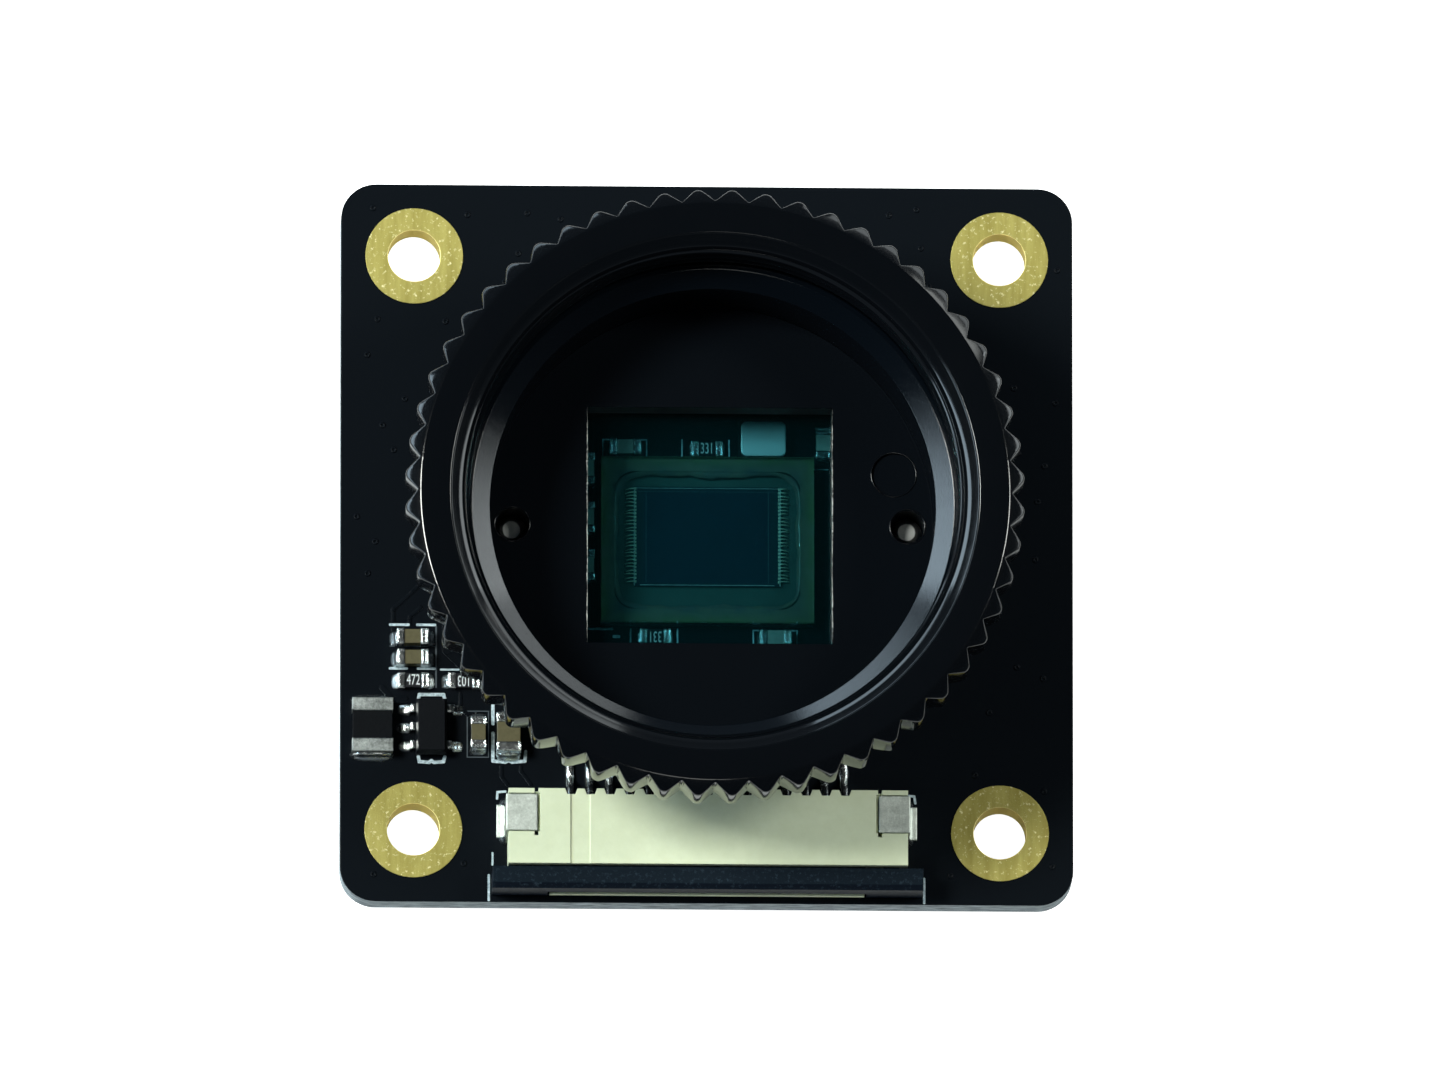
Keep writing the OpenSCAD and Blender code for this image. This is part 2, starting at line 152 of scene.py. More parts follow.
class Tree:
    """Short way to add linked nodes to a material."""

    def __init__(self, material):
        self.tree = material.node_tree
        self.shader = self.tree.nodes["Principled BSDF"]
        self.place = self.add("ShaderNodeTexCoord").outputs["Object"]

    def add(self, kind, **inputs):
        """New node; inputs are given by their names with underscores, as values or links."""
        node = self.tree.nodes.new(kind)
        for key, value in inputs.items():
            self.put(node, key.replace("_", " "), value)
        return node

    def put(self, node, key, value):
        socket = node.inputs[int(key)] if key.isdigit() else node.inputs[key]
        if isinstance(value, bpy.types.NodeSocket):
            self.tree.links.new(value, socket)
        else:
            socket.default_value = value

    def noise(self, scale, detail=3.0, roughness=0.6, place=None):
        """Noise value; scale is in waves per metre."""
        node = self.add("ShaderNodeTexNoise", Scale=scale, Detail=detail, Roughness=roughness)
        self.tree.links.new(place or self.place, node.inputs["Vector"])
        return node.outputs["Fac"]

    def ramp(self, value, low, high, first=(0, 0, 0), last=(1, 1, 1)):
        """Maps a value between low and high to a run between two colours."""
        node = self.add("ShaderNodeValToRGB", Fac=value)
        node.color_ramp.elements[0].position = low
        node.color_ramp.elements[1].position = high
        node.color_ramp.elements[0].color = (*first, 1)
        node.color_ramp.elements[1].color = (*last, 1)
        return node.outputs["Color"]

    def math(self, operation, a, b=0.0):
        """One step of arithmetic on two values."""
        node = self.tree.nodes.new("ShaderNodeMath")
        node.operation = operation
        self.put(node, "0", a)
        self.put(node, "1", b)
        return node.outputs[0]

    def scaled(self, value, factor, offset):
        """value x factor + offset."""
        return self.math("ADD", self.math("MULTIPLY", value, factor), offset)

    def mix(self, share, first, last):
        """Blends two colours by a share from 0 to 1."""
        node = self.tree.nodes.new("ShaderNodeMix")
        node.data_type = "RGBA"
        self.put(node, "0", share)
        for index, value in ((6, first), (7, last)):
            colour = value if isinstance(value, bpy.types.NodeSocket) else (*value, 1)
            self.put(node, str(index), colour)
        return node.outputs[2]

    def axes(self):
        """The three object coordinates, in metres."""
        return self.add("ShaderNodeSeparateXYZ", Vector=self.place).outputs

    def stretched(self, *scale):
        """Object coordinates scaled along each axis, which draws a pattern out."""
        return self.add("ShaderNodeMapping", Vector=self.place, Scale=scale).outputs["Vector"]

    def facing_up(self):
        """Z of the face's own direction: 1 on a level top, 0 on an upright side."""
        face = self.add("ShaderNodeNewGeometry").outputs["True Normal"]
        return self.add("ShaderNodeSeparateXYZ", Vector=face).outputs["Z"]

    def bump(self, height, distance, strength=1.0, edge=0.0):
        """Bump from a height value; edge is the radius, in metres, that edges are rounded by."""
        node = self.add("ShaderNodeBump", Height=height, Distance=distance, Strength=strength)
        if edge:
            self.put(node, "Normal", self.soft_edges(edge))
        self.put(self.shader, "Normal", node.outputs["Normal"])

    def soft_edges(self, radius):
        """Normal that rounds the shading of edges over a radius in metres."""
        node = self.tree.nodes.new("ShaderNodeBevel")
        node.samples = 6
        node.inputs["Radius"].default_value = radius
        return node.outputs["Normal"]

    def color(self, value):
        self.put(self.shader, "Base Color", value)

    def rough(self, value):
        self.put(self.shader, "Roughness", value)


# %% [markdown]
# ## The board's finish
# The top is black solder mask over copper: semi-gloss, with a faint orange-peel. The sides were
# cut, so they show the pale glass fibre. Two materials would need the board split in two, so one
# does both: where a face looks sideways it mixes over to the fibre colour, streaked along the cut.
#
# Each mounting hole is plated with gold, brushed along one way on its flat ring and smooth down its
# barrel. The barrel is painted a much brighter gold, a painted reflection of the lit paper below
# the hole. The distance from the hole's own axis tells the two apart.


# %% Board finishes
def solder_mask():
    material = new_material("solder_mask", (0.0033, 0.0048, 0.0066), 0.3, Specular_IOR_Level=0.055)
    t = Tree(material)
    side = t.math("LESS_THAN", t.math("ABSOLUTE", t.facing_up()), 0.5)
    fibre = t.noise(900, 4, 0.7, t.stretched(1, 1, 5))
    cut = t.ramp(fibre, 0.35, 0.7, (0.14, 0.16, 0.17), (0.46, 0.52, 0.55))
    t.color(t.mix(side, (0.0035, 0.005, 0.007), cut))
    t.rough(t.scaled(side, 0.45, 0.3))
    t.bump(t.noise(2500, 2), 0.00001, 0.25, 0.0001)
    return material


def gold_plating():
    material = new_material("gold_plating", (0.8, 0.75, 0.3), 0.5, 1.0)
    t = Tree(material)
    grain = t.noise(9000, 3, 0.75)
    x, y, _ = t.axes()
    off_x = t.math("SUBTRACT", t.math("ABSOLUTE", x), hole_xy * MM)
    off_y = t.math("SUBTRACT", t.math("ABSOLUTE", y), hole_xy * MM)
    squares = t.math("ADD", t.math("MULTIPLY", off_x, off_x), t.math("MULTIPLY", off_y, off_y))
    off = t.math("SQRT", squares)
    painted_bright_barrel = t.math("LESS_THAN", off, (hole_r + 0.02) * MM)
    brushed = t.noise(1800, 3, 0.7, t.stretched(1, 0.12, 1))
    pad = t.mix(t.ramp(brushed, 0.3, 0.7), (0.34, 0.295, 0.078), (0.48, 0.425, 0.135))
    pad = t.mix(t.ramp(t.noise(4200, 3, 0.7), 0.58, 0.7), pad, (0.85, 0.8, 0.45))
    # Painted light: the barrel gets a much brighter gold, standing in for the lit paper it
    # reflects.
    t.color(t.mix(painted_bright_barrel, pad, (1.0, 0.86, 0.38)))
    t.rough(t.scaled(grain, 0.25, 0.4))
    t.bump(grain, 0.00002, 0.5, 0.00004)
    return material


finishes = {"solder_mask": solder_mask(), "gold_plating": gold_plating()}
print("board finishes:", ", ".join(finishes))

# %% [markdown]
# ## The mount's plastics
# The base is one black moulding: its floor is matt so that no light bounces into the sensor, while
# the tube above it is smooth. Height alone tells the two apart, so one material serves, and a dark
# tint takes the shine off the floor. The ring is glossier, with a little unevenness from the tool.


# %% Mount plastics
def base_plastic():
    material = new_material("base_plastic", (0.0014, 0.0026, 0.0044), 0.5, Specular_IOR_Level=0.45)
    t = Tree(material)
    above = t.math("GREATER_THAN", t.axes()[2], (floor_top + 0.3) * MM)
    t.rough(t.scaled(above, -0.5, 0.62))
    t.put(t.shader, "Specular Tint", t.mix(above, (0.045, 0.045, 0.045), (1, 1, 1)))
    t.bump(t.noise(14000, 2), 0.000012, 0.35, 0.00006)
    return material


def ring_black():
    material = new_material("ring_black", (0.002, 0.0026, 0.0036), 0.2, Specular_IOR_Level=0.4)
    t = Tree(material)
    t.rough(t.scaled(t.noise(700, 3), 0.08, 0.07))
    t.bump(t.noise(1500, 3), 0.00001, 0.12)
    return material


finishes["base_plastic"] = base_plastic()
finishes["ring_black"] = ring_black()
print("mount finishes made")

# %% [markdown]
# ## The connector's plastics
# The housing is ivory nylon, which lets a little light in and is slightly cloudy. The slider is a
# black moulding with pale flecks from its glass filling. Its level top is painted a little lighter
# than its sides: painted light on the top and painted shade on the sides.


# %% Connector plastics
def ivory_plastic():
    material = new_material("ivory_plastic", (0.66, 0.77, 0.56), 0.42, Subsurface_Weight=0.08)
    t = Tree(material)
    t.shader.inputs["Subsurface Radius"].default_value = (0.0006, 0.0005, 0.0003)
    mottle = t.ramp(t.noise(1500, 4, 0.7), 0.35, 0.7)
    tone = t.math("MULTIPLY", t.noise(260, 2), t.scaled(mottle, 0.5, 0.5))
    t.color(t.mix(tone, (0.6, 0.65, 0.44), (0.76, 0.82, 0.6)))
    t.bump(t.noise(3500, 4), 0.000015, 0.4, 0.00006)
    return material


def slider_plastic():
    material = new_material("slider_plastic", (0.005, 0.008, 0.012), 0.45, Specular_IOR_Level=0.055)
    t = Tree(material)
    flecks = t.ramp(t.noise(4200, 4, 0.8), 0.54, 0.76)
    # Painted light: faces that look up get a lighter colour than the sides, as if lit from above.
    level = t.math("GREATER_THAN", t.facing_up(), 0.95)
    plain = t.mix(level, (0.0022, 0.005, 0.01), (0.0044, 0.009, 0.0142))
    t.color(t.mix(flecks, plain, (0.026, 0.042, 0.058)))
    t.bump(t.noise(3000, 4), 0.00002, 0.5, 0.00008)
    return material


finishes["ivory_plastic"] = ivory_plastic()
finishes["black_plastic"] = slider_plastic()
print("connector finishes made")

# %% [markdown]
# ## The chips' coats
# The regulator is moulded in epoxy, the inductor is pressed ferrite, and the resistors have a
# thin glaze. All three are almost black and differ in shine and grain. The capacitors are fired
# ceramic: brown outside the mount, and pale for the high-grade ones beside the sensor.


# %% Coats of the chips
def moulding_compound():
    color = (0.0025, 0.0034, 0.0048)
    material = new_material("moulding_compound", color, 0.5, Specular_IOR_Level=0.08)
    t = Tree(material)
    t.bump(t.noise(12000, 3), 0.00002, 0.4, 0.00006)
    return material


def ferrite():
    material = new_material("ferrite", (0.0025, 0.0033, 0.0045), 0.5, Specular_IOR_Level=0.08)
    t = Tree(material)
    t.bump(t.noise(6000, 4), 0.00002, 0.5, 0.00005)
    return material


def resistor_coat():
    material = new_material("resistor_coat", (0.008, 0.009, 0.011), 0.3)
    t = Tree(material)
    t.bump(t.noise(6000, 3), 0.00001, 0.3, 0.00004)
    return material


def capacitor_ceramic():
    material = new_material("capacitor_ceramic", (0.22, 0.18, 0.085), 0.4)
    t = Tree(material)
    t.color(t.mix(t.noise(5000, 3), (0.06, 0.052, 0.02), (0.115, 0.1, 0.046)))
    t.bump(t.noise(6000, 2), 0.00001, 0.3, 0.00005)
    return material


def pale_ceramic():
    material = new_material("pale_ceramic", (0.3, 0.31, 0.27), 0.4)
    t = Tree(material)
    t.color(t.mix(t.noise(5000, 3), (0.22, 0.23, 0.2), (0.34, 0.35, 0.31)))
    return material


finishes["moulding_compound"] = moulding_compound()
finishes["ferrite"] = ferrite()
finishes["resistor_coat"] = resistor_coat()
finishes["capacitor_ceramic"] = capacitor_ceramic()
print("chip finishes made")

# %% [markdown]
# ## Metals
# Soldered ends are bright but uneven, so their bump is coarse and their roughness varies. The
# connector's anchors and the inductor's ends are satin: a fine grain carries both the colour and
# the roughness. Screws and the oscillator's lid are plain, with a light grain.


# %% Metals
def tinned_metal():
    material = new_material("tinned_metal", (0.72, 0.75, 0.74), 0.24, 1.0)
    t = Tree(material)
    t.rough(t.scaled(t.noise(2500, 3), 0.26, 0.1))
    t.bump(t.noise(1300, 2, 0.5), 0.00008, 0.5, 0.00018)
    return material


def satin_metal(name, dark, light):
    material = new_material(name, light, 0.55, 1.0)
    t = Tree(material)
    grain = t.math("MULTIPLY", t.noise(9000, 4, 0.8), t.ramp(t.noise(1700, 4, 0.8), 0.1, 0.62))
    t.color(t.mix(grain, dark, light))
    t.rough(t.scaled(grain, 0.25, 0.42))
    t.bump(grain, 0.00002, 0.5, 0.0001)
    return material


def screw_steel():
    material = new_material("screw_steel", (0.62, 0.63, 0.61), 0.42, 1.0)
    t = Tree(material)
    t.bump(t.noise(4000, 3), 0.00002, 0.4, 0.00005)
    return material


def lid_metal():
    material = new_material("lid_metal", (0.8, 0.82, 0.82), 0.5, 1.0)
    t = Tree(material)
    t.bump(t.noise(5000, 3), 0.00001, 0.4, 0.0001)
    return material


# Gold, but paler and only partly metal: the gold is real, and the paleness is a painted sheen that
# keeps the wires and pads bright.
def wire_gold():
    return new_material("wire_gold", (1.0, 0.95, 0.75), 0.3, 0.35)


finishes["tinned_metal"] = tinned_metal()
finishes["screw_steel"] = screw_steel()
finishes["lid_metal"] = lid_metal()
print("metal finishes made")

# %% [markdown]
# ## The sensor's finishes
# Light reaches the sensor and leaves it through the teal filter, so these colours are paler and
# greener than they look from outside. The die's light-sensitive field is bluer than the circuits
# round it, and the adhesive shows more of the carrier's colour near the dam. Both are plain
# regions of the object coordinates, which needs no image.


# %% Sensor finishes
def laminate():
    material = new_material("laminate", (0.09, 0.2, 0.13), 0.45)
    t = Tree(material)
    t.color(t.mix(t.noise(1500, 3), (0.07, 0.17, 0.11), (0.12, 0.25, 0.17)))
    return material


def silicon():
    """Dark blue field; outside the light-sensitive area the circuits look greener."""
    material = new_material("silicon", (0.03, 0.08, 0.12), 0.12, Specular_IOR_Level=0.6)
    t = Tree(material)
    x, y, _ = t.axes()
    off_y = t.math("SUBTRACT", y, (die_low[1] + die_high[1]) / 2 * MM)
    wide = t.math("LESS_THAN", t.math("ABSOLUTE", x), (die_high[0] - 0.52) * MM)
    half_tall = (die_high[1] - die_low[1] - 0.4) / 2
    tall = t.math("LESS_THAN", t.math("ABSOLUTE", off_y), half_tall * MM)
    t.color(t.mix(t.math("MULTIPLY", wide, tall), (0.02, 0.042, 0.058), (0.013, 0.033, 0.056)))
    return material


def adhesive():
    """Greener towards the dam; far is 1 on the dam's outer rectangle."""
    material = new_material("adhesive", (0.16, 0.2, 0.14), 0.22)
    t = Tree(material)
    x, y, _ = t.axes()
    half_x, half_y = 5.45 * MM, 4.3 * MM
    far = t.math("MAXIMUM", t.math("DIVIDE", t.math("ABSOLUTE", x), half_x),
                 t.math("DIVIDE", t.math("ABSOLUTE", y), half_y))
    tone = t.mix(t.ramp(far, 0.84, 0.98), (0.11, 0.115, 0.12), (0.14, 0.16, 0.075))
    t.color(t.mix(t.ramp(t.noise(900, 3), 0.35, 0.7), tone, (0.17, 0.16, 0.12)))
    return material


def cavity_floor():
    """The carrier inside the dam is darker and bluer than the dam."""
    material = new_material("cavity_floor", (0.05, 0.09, 0.08), 0.4)
    t = Tree(material)
    t.color(t.mix(t.noise(2000, 3), (0.04, 0.08, 0.075), (0.07, 0.11, 0.1)))
    return material


finishes["laminate"] = laminate()
finishes["silicon"] = silicon()
finishes["adhesive"] = adhesive()
print("sensor finishes made")

# %% [markdown]
# ## Clear sheets
# The filter and the cover glass are thin and flat. Real refraction through such a sheet hardly
# bends the view, but it is slow to render and blocks lamp light, so light passes straight through
# with a tint here, and a Fresnel node adds the mirror image that glass has.


# %% Clear sheets
def see_through(name, tint, roughness, haze):
    """Clear sheet: light passes tinted and unbent, and the faces reflect as glass does.

    The haze is the share of light that the coating scatters.
    """
    material = bpy.data.materials.new(name)
    material.use_nodes = True
    tree = material.node_tree
    tree.nodes.remove(tree.nodes["Principled BSDF"])
    clear = tree.nodes.new("ShaderNodeBsdfTransparent")
    clear.inputs["Color"].default_value = (*tint, 1)
    gloss = tree.nodes.new("ShaderNodeBsdfGlossy")
    gloss.inputs["Roughness"].default_value = roughness
    fresnel = tree.nodes.new("ShaderNodeFresnel")
    fresnel.inputs["IOR"].default_value = 1.45
    mix = tree.nodes.new("ShaderNodeMixShader")
    tree.links.new(fresnel.outputs[0], mix.inputs[0])
    film = tree.nodes.new("ShaderNodeBsdfDiffuse")
    film.inputs["Color"].default_value = (0.01, 0.2, 0.24, 1)
    body = tree.nodes.new("ShaderNodeMixShader")
    body.inputs[0].default_value = haze
    tree.links.new(clear.outputs[0], body.inputs[1])
    tree.links.new(film.outputs[0], body.inputs[2])
    tree.links.new(body.outputs[0], mix.inputs[1])
    tree.links.new(gloss.outputs[0], mix.inputs[2])
    tree.links.new(mix.outputs[0], tree.nodes["Material Output"].inputs["Surface"])
    return material


finishes["filter_glass"] = see_through("filter_glass", (0.5, 0.74, 0.78), 0.0, 0.012)
finishes["cover_glass"] = see_through("cover_glass", (0.94, 0.98, 0.97), 0.02, 0.0)
print("clear finishes made")

# %% [markdown]
# ## Giving the exact parts their finishes
# The record names a material slot for each part, so one loop dresses them all. A few parts share
# a slot but look different, and get a finish of their own.

# %% Finishes on the exact parts
for part in record["subparts"]:
    slots = nodes[part["node"]].data.materials
    slots.clear()
    slots.append(finishes[part["material_slot"]])
special = {
    "connector_anchors": satin_metal("anchor_steel", (0.36, 0.4, 0.36), (0.95, 1.0, 0.92)),
    "inductor_ends": satin_metal("inductor_solder", (0.02, 0.025, 0.025), (0.75, 0.8, 0.77)),
    "sensor_substrate": cavity_floor(),
}
pale = pale_ceramic()
special.update({f"capacitor_{i}_body": pale for i in range(5, 11)})
for node, material in special.items():
    nodes[node].data.materials[0] = material
print(f"{len(finishes)} finishes on {len(nodes)} parts, {len(special)} with one of their own")

# %% [markdown]
# ## The knurled ring
# Fingers turn this ring to focus, so its rim is knurled. A knurl could be cut with boolean solids,
# but then its edges would be hard to round. Here the ring is a profile carried round the axis.
# Each knurl is a tooth with straight flanks and a round crest, so the outer radius depends on the
# angle, and the profile's outer corners follow it: the top chamfer meets a valley higher up than
# it meets a crest. Then each corner of the profile becomes a small curve, because a sharp edge
# would catch no light.


# %% Rounding a profile
def rounded_profile(corners, radii, steps=3):
    """Closed outline in which each corner becomes a quadratic curve.

    The curve starts and ends the corner's radius away along its two sides, with the corner
    itself as the control point: p = (1-t)^2 a + 2t(1-t) corner + t^2 b. Corners may have any
    number of leading axes; the last two are corner and coordinate.
    """
    before = np.roll(corners, 1, -2) - corners
    after = np.roll(corners, -1, -2) - corners
    length_b = np.linalg.norm(before, axis=-1, keepdims=True)
    length_a = np.linalg.norm(after, axis=-1, keepdims=True)
    cut = np.minimum(np.array(radii)[:, None], 0.45 * np.minimum(length_a, length_b))
    a, b = corners + before / length_b * cut, corners + after / length_a * cut
    t = np.linspace(0, 1, steps + 1)[:, None]
    curve = ((1 - t) ** 2 * a[..., None, :] + 2 * t * (1 - t) * corners[..., None, :]
             + t ** 2 * b[..., None, :])
    return curve.reshape(*corners.shape[:-2], -1, 2)


# %% [markdown]
# ### The tooth outline
# The angles crowd together where the outline bends, on the crest and in the valley, so that a few
# points draw it well.

# %% Outline of a tooth
KNURLS = 56
KNURL_DEPTH = 0.66
CREST_ROUND = 0.42


def knurl_angles():
    """Angles from a crest, closely spaced on the round crest and in the valley."""
    half = math.pi / KNURLS
    share = np.array([0, 0.06, 0.12, 0.18, 0.24, 0.45, 0.7, 0.9, 0.97, 1.0])
    share = np.concatenate([-share[:0:-1], share[:-1]])
    crests = (np.arange(KNURLS)[:, None] + 0.5) * 2 * half
    return (crests + share * half).ravel(), np.tile(share * half, KNURLS)


def knurl_radius(local):
    """Radius of the tooth outline at an angle from its crest.

    On the crest it is where the ray meets a circle; on a flank it is where the ray meets the
    tangent from the valley to that circle: r = d / cos(angle - normal).
    """
    half = math.pi / KNURLS
    local = np.abs(local)
    crest_x = ring_r - CREST_ROUND
    valley = (ring_r - KNURL_DEPTH) * np.array([math.cos(half), math.sin(half)])
    back = crest_x - valley[0]
    reach = math.hypot(valley[1], back)
    normal = math.pi / 2 - math.atan2(valley[1], back) + math.asin(CREST_ROUND / reach)
    flank = valley @ (math.cos(normal), math.sin(normal)) / np.cos(local - normal)
    turn = math.atan2(CREST_ROUND * math.sin(normal), crest_x + CREST_ROUND * math.cos(normal))
    inside = np.maximum(CREST_ROUND ** 2 - (crest_x * np.sin(local)) ** 2, 0)
    crest = crest_x * np.cos(local) + np.sqrt(inside)
    return np.maximum(np.where(local < turn, crest, flank), ring_r - KNURL_DEPTH + 0.03)


# %% [markdown]
# ### The whole ring
# The profile starts under the ring's outside, goes up over the knurled band and the seat, and
# comes back down the bore, past the lens thread and the relief that clears the tube.

# %% Knurled ring
KNURL_BAND = 2.7         # height of the knurled band under the seat
SEAT_EDGE = 0.8          # from the crests in to the edge of the flat seat
BREAK_RUN = 0.35         # the chamfer starts with a shallower part, this wide
BREAK_DROP = 0.18        # and this deep
CREST_DROP = 0.42        # from the seat down to the chamfer's end on a crest
SKIRT_IN = 1.8           # from the crests in to the plain skirt under the band


def knurled_ring():
    """Profile (p, z) carried round the axis: points are (p cos a, p sin a, z).

    The outer corners are functions of the tooth radius at the angle a. The grid of angles by
    profile points is closed both ways.
    """
    angle, local = knurl_angles()
    r = knurl_radius(local)
    edge = ring_r - SEAT_EDGE
    band_low = seat - KNURL_BAND
    bend = [edge, edge + BREAK_RUN]
    top = np.interp(r, [*bend, ring_r], [seat, seat - BREAK_DROP, seat - CREST_DROP])
    middle = edge + np.minimum(BREAK_RUN, 0.6 * (r - edge))
    low = band_low + 0.12 * (r - ring_r + KNURL_DEPTH) / KNURL_DEPTH
    low_in = r - 0.12
    outer = [(low_in, band_low), (r, low + 0.02), (r, top),
             (middle, np.interp(middle, bend, [seat, seat - BREAK_DROP])), (edge, seat)]
    skirt_r, foot = ring_r - SKIRT_IN, ring_low[2]
    skirt = [(thread_r + 0.5, foot), (skirt_r - 0.4, foot), (skirt_r, foot + 0.4),
             (skirt_r, band_low)]
    bore = [
        (thread_r + 0.78, seat), (thread_r + 0.73, seat - 0.08), (thread_r + 0.36, seat - 0.28),
        (thread_r + 0.15, seat - 0.42), (thread_r, seat - 0.65), (thread_r, rim + 0.3),
        (thread_r + 0.3, rim + 0.3), (thread_r + 0.3, rim - 0.5), (thread_r + 0.02, rim - 0.5),
        (thread_r + 0.02, foot + 0.45)]
    radii = [0.1, 0.1, 0.1, 0.05, 0.05, 0.08, 0.1, 0.1, 0.07, 0.05, 0.04, 0.06, 0.06, 0.06,
             0.03, 0.03, 0.03, 0.03, 0.1]
    corners = [np.stack([p + 0 * r, z + 0 * r], -1) for p, z in skirt + outer + bore]
    profile = rounded_profile(np.stack(corners, 1), radii)
    points = np.stack([profile[..., 0] * np.cos(angle)[:, None],
                       profile[..., 0] * np.sin(angle)[:, None], profile[..., 1]], -1)
    return points.reshape(-1, 3), grid_faces(points.shape[0], points.shape[1], True, True)


ring = make_piece("knurled_ring", *knurled_ring(), "ring", "ring_black", finishes["ring_black"])
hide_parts("focus_ring")
print("knurled ring:", len(ring.data.polygons), "quads")

# %% [markdown]
# ## Screw threads
# A thread is a wave along the axis that slides on by one pitch in each turn, so its height
# depends only on z / pitch - angle / turn. A screw modifier could sweep a tooth along a helix, but
# its ends would need cutting; here the wave just dies out at both ends, as a cut thread does. The
# lens thread rides on the ring, and the tube's own thread on the base.

# %% Lens thread and tube thread
THREAD_PITCH = 25.4 / 32
THREAD_DEPTH = 0.24      # shallower than a real one, whose flanks would shine too much


def thread_sleeve(wall_r, tip_r, z_low, z_high, turns_seen):
    """Closed sleeve with a smooth wall at wall_r and a threaded face that reaches tip_r.

    The wave is 1 - |2 f - 1|, with f the fraction of a turn at z / pitch - angle / turn, cut flat
    at crest and root. The radius goes from wall_r to tip_r as the wave goes from 0 to 1, and the
    wave is faded over a quarter of a millimetre at both ends.
    """
    columns = 320
    rows = 14 * turns_seen
    angle = np.arange(columns) * 2 * math.pi / columns
    z = np.linspace(z_low, z_high, rows)[:, None]
    turn = z / THREAD_PITCH - angle / (2 * math.pi)
    wave = 1 - np.abs(2 * (turn % 1.0) - 1)
    wave = np.clip(wave * 1.35 - 0.12, 0, 1)
    fade = np.clip(np.minimum(z - z_low, z_high - z) / 0.25, 0, 1)
    radius = wall_r + (tip_r - wall_r) * (0.02 + 0.98 * wave * fade)
    skin = np.stack([radius * np.cos(angle), radius * np.sin(angle), z + 0 * angle], -1)
    back = skin[[-1, 0]].copy()
    back[..., :2] = wall_r * np.stack([np.cos(angle), np.sin(angle)], -1)
    points = np.concatenate([skin, back])
    faces = grid_faces(rows + 2, columns, True, True)
    if tip_r < wall_r:
        faces = faces[:, ::-1]
    return points.reshape(-1, 3), faces


lens_sleeve = thread_sleeve(thread_r - 0.004, thread_r - THREAD_DEPTH, rim + 0.27, seat - 0.62, 4)
lens_thread = make_piece("lens_thread", *lens_sleeve, "ring", "ring_black", finishes["ring_black"])
tube_sleeve = thread_sleeve(thread_r - 0.395, thread_r - 0.06, deck + 4.4, ring_low[2] + 0.3, 4)
tube_thread = make_piece("tube_thread", *tube_sleeve, "camera", "base_plastic",
                         finishes["base_plastic"])
print("threads:", len(lens_thread.data.polygons), len(tube_thread.data.polygons), "quads")

# %% [markdown]
# ## Solder
# Molten solder pulls up the wall of a metal end and runs out thin over its pad. In section that
# is a hollow curve, highest at the wall. Modelling each fillet by hand would make them alike and
# slow, so all of them are one array: a unit grid is shaped once and then scaled, turned and moved
# to every end in one step, with a seeded random number to vary each.


# %% Solder fillets
def fillets(places, seed):
    """Closed solder shapes. Each place is (x, y, turn in degrees, width, height, reach).

    With s from 0 at the wall to 1 at the toe and w from -1 to 1 across, the height is
    about height (1 - s)^2 (1 - w^4), plus a thin skirt that drops off at the rim. The underside
    is the same grid laid flat just under the board's top, so every fillet is closed.
    """
    places = np.array(places, float)
    rng = np.random.default_rng(seed)
    rows, columns = 11, 13
    s, w = np.meshgrid(np.linspace(0, 1, rows) ** 0.8, np.linspace(-1, 1, columns), indexing="ij")
    x, y, turn, width, height, reach = (places[:, k, None, None] for k in range(6))
    wave = rng.uniform(-0.5, 0.5, (len(places), 6, 1, 1))
    lump = 1 + 0.3 * wave[:, 0] * np.sin(4 * w + 6 * wave[:, 1]) + 0.25 * wave[:, 2] * np.cos(3 * s)
    skirt = 0.03 * np.clip(6 * np.minimum(1 - s, 1 - np.abs(w)), 0, 1)
    z = height * (1 - s) ** (2.1 + wave[:, 3]) * (1 - w ** 4) * lump + skirt
    long = reach * s * (1 + 0.25 * wave[:, 4]) * (1 - 0.3 * w ** 4)
    across = 0.5 * width * w * (1 - 0.18 * s * s) * (1 + 0.12 * wave[:, 5])
    c, d = np.cos(np.radians(turn)), np.sin(np.radians(turn))
    top = np.stack([x + long * c - across * d, y + long * d + across * c, deck + z], -1)
    under = top.copy()
    under[..., 2] = deck - 0.01
    count = rows * columns
    points = np.concatenate([top.reshape(len(places), -1, 3), under.reshape(len(places), -1, 3)], 1)
    quads = grid_faces(rows, columns)
    i = np.arange(count).reshape(rows, columns)
    loop = np.concatenate([i[0, :-1], i[:-1, -1], i[-1, :0:-1], i[:0:-1, 0]])
    after = np.roll(loop, -1)
    walls = np.stack([loop, after, after + count, loop + count], 1)
    one = np.concatenate([quads, quads[:, ::-1] + count, walls])
    faces = (one[None] + np.arange(len(places))[:, None, None] * 2 * count).reshape(-1, 4)
    return points.reshape(-1, 3), faces


def chip_ends(node, height, reach):
    """Fillet places at both ends of a chip, from the box of its end caps."""
    low, high = span(node)
    size, middle = high - low, (high + low) / 2
    if size[0] > size[1]:
        return [(high[0] - 0.02, middle[1], 0, size[1] * 1.1, height, reach),
                (low[0] + 0.02, middle[1], 180, size[1] * 1.1, height, reach)]
    return [(middle[0], high[1] - 0.02, 90, size[0] * 1.1, height, reach),
            (middle[0], low[1] + 0.02, 270, size[0] * 1.1, height, reach)]


# %% [markdown]
# ### Where the solder is
# Every chip has it at both ends, and it is larger outside the mount. The ribbon connector has it
# before and behind each contact and at its two anchors, and the regulator at its five leads.

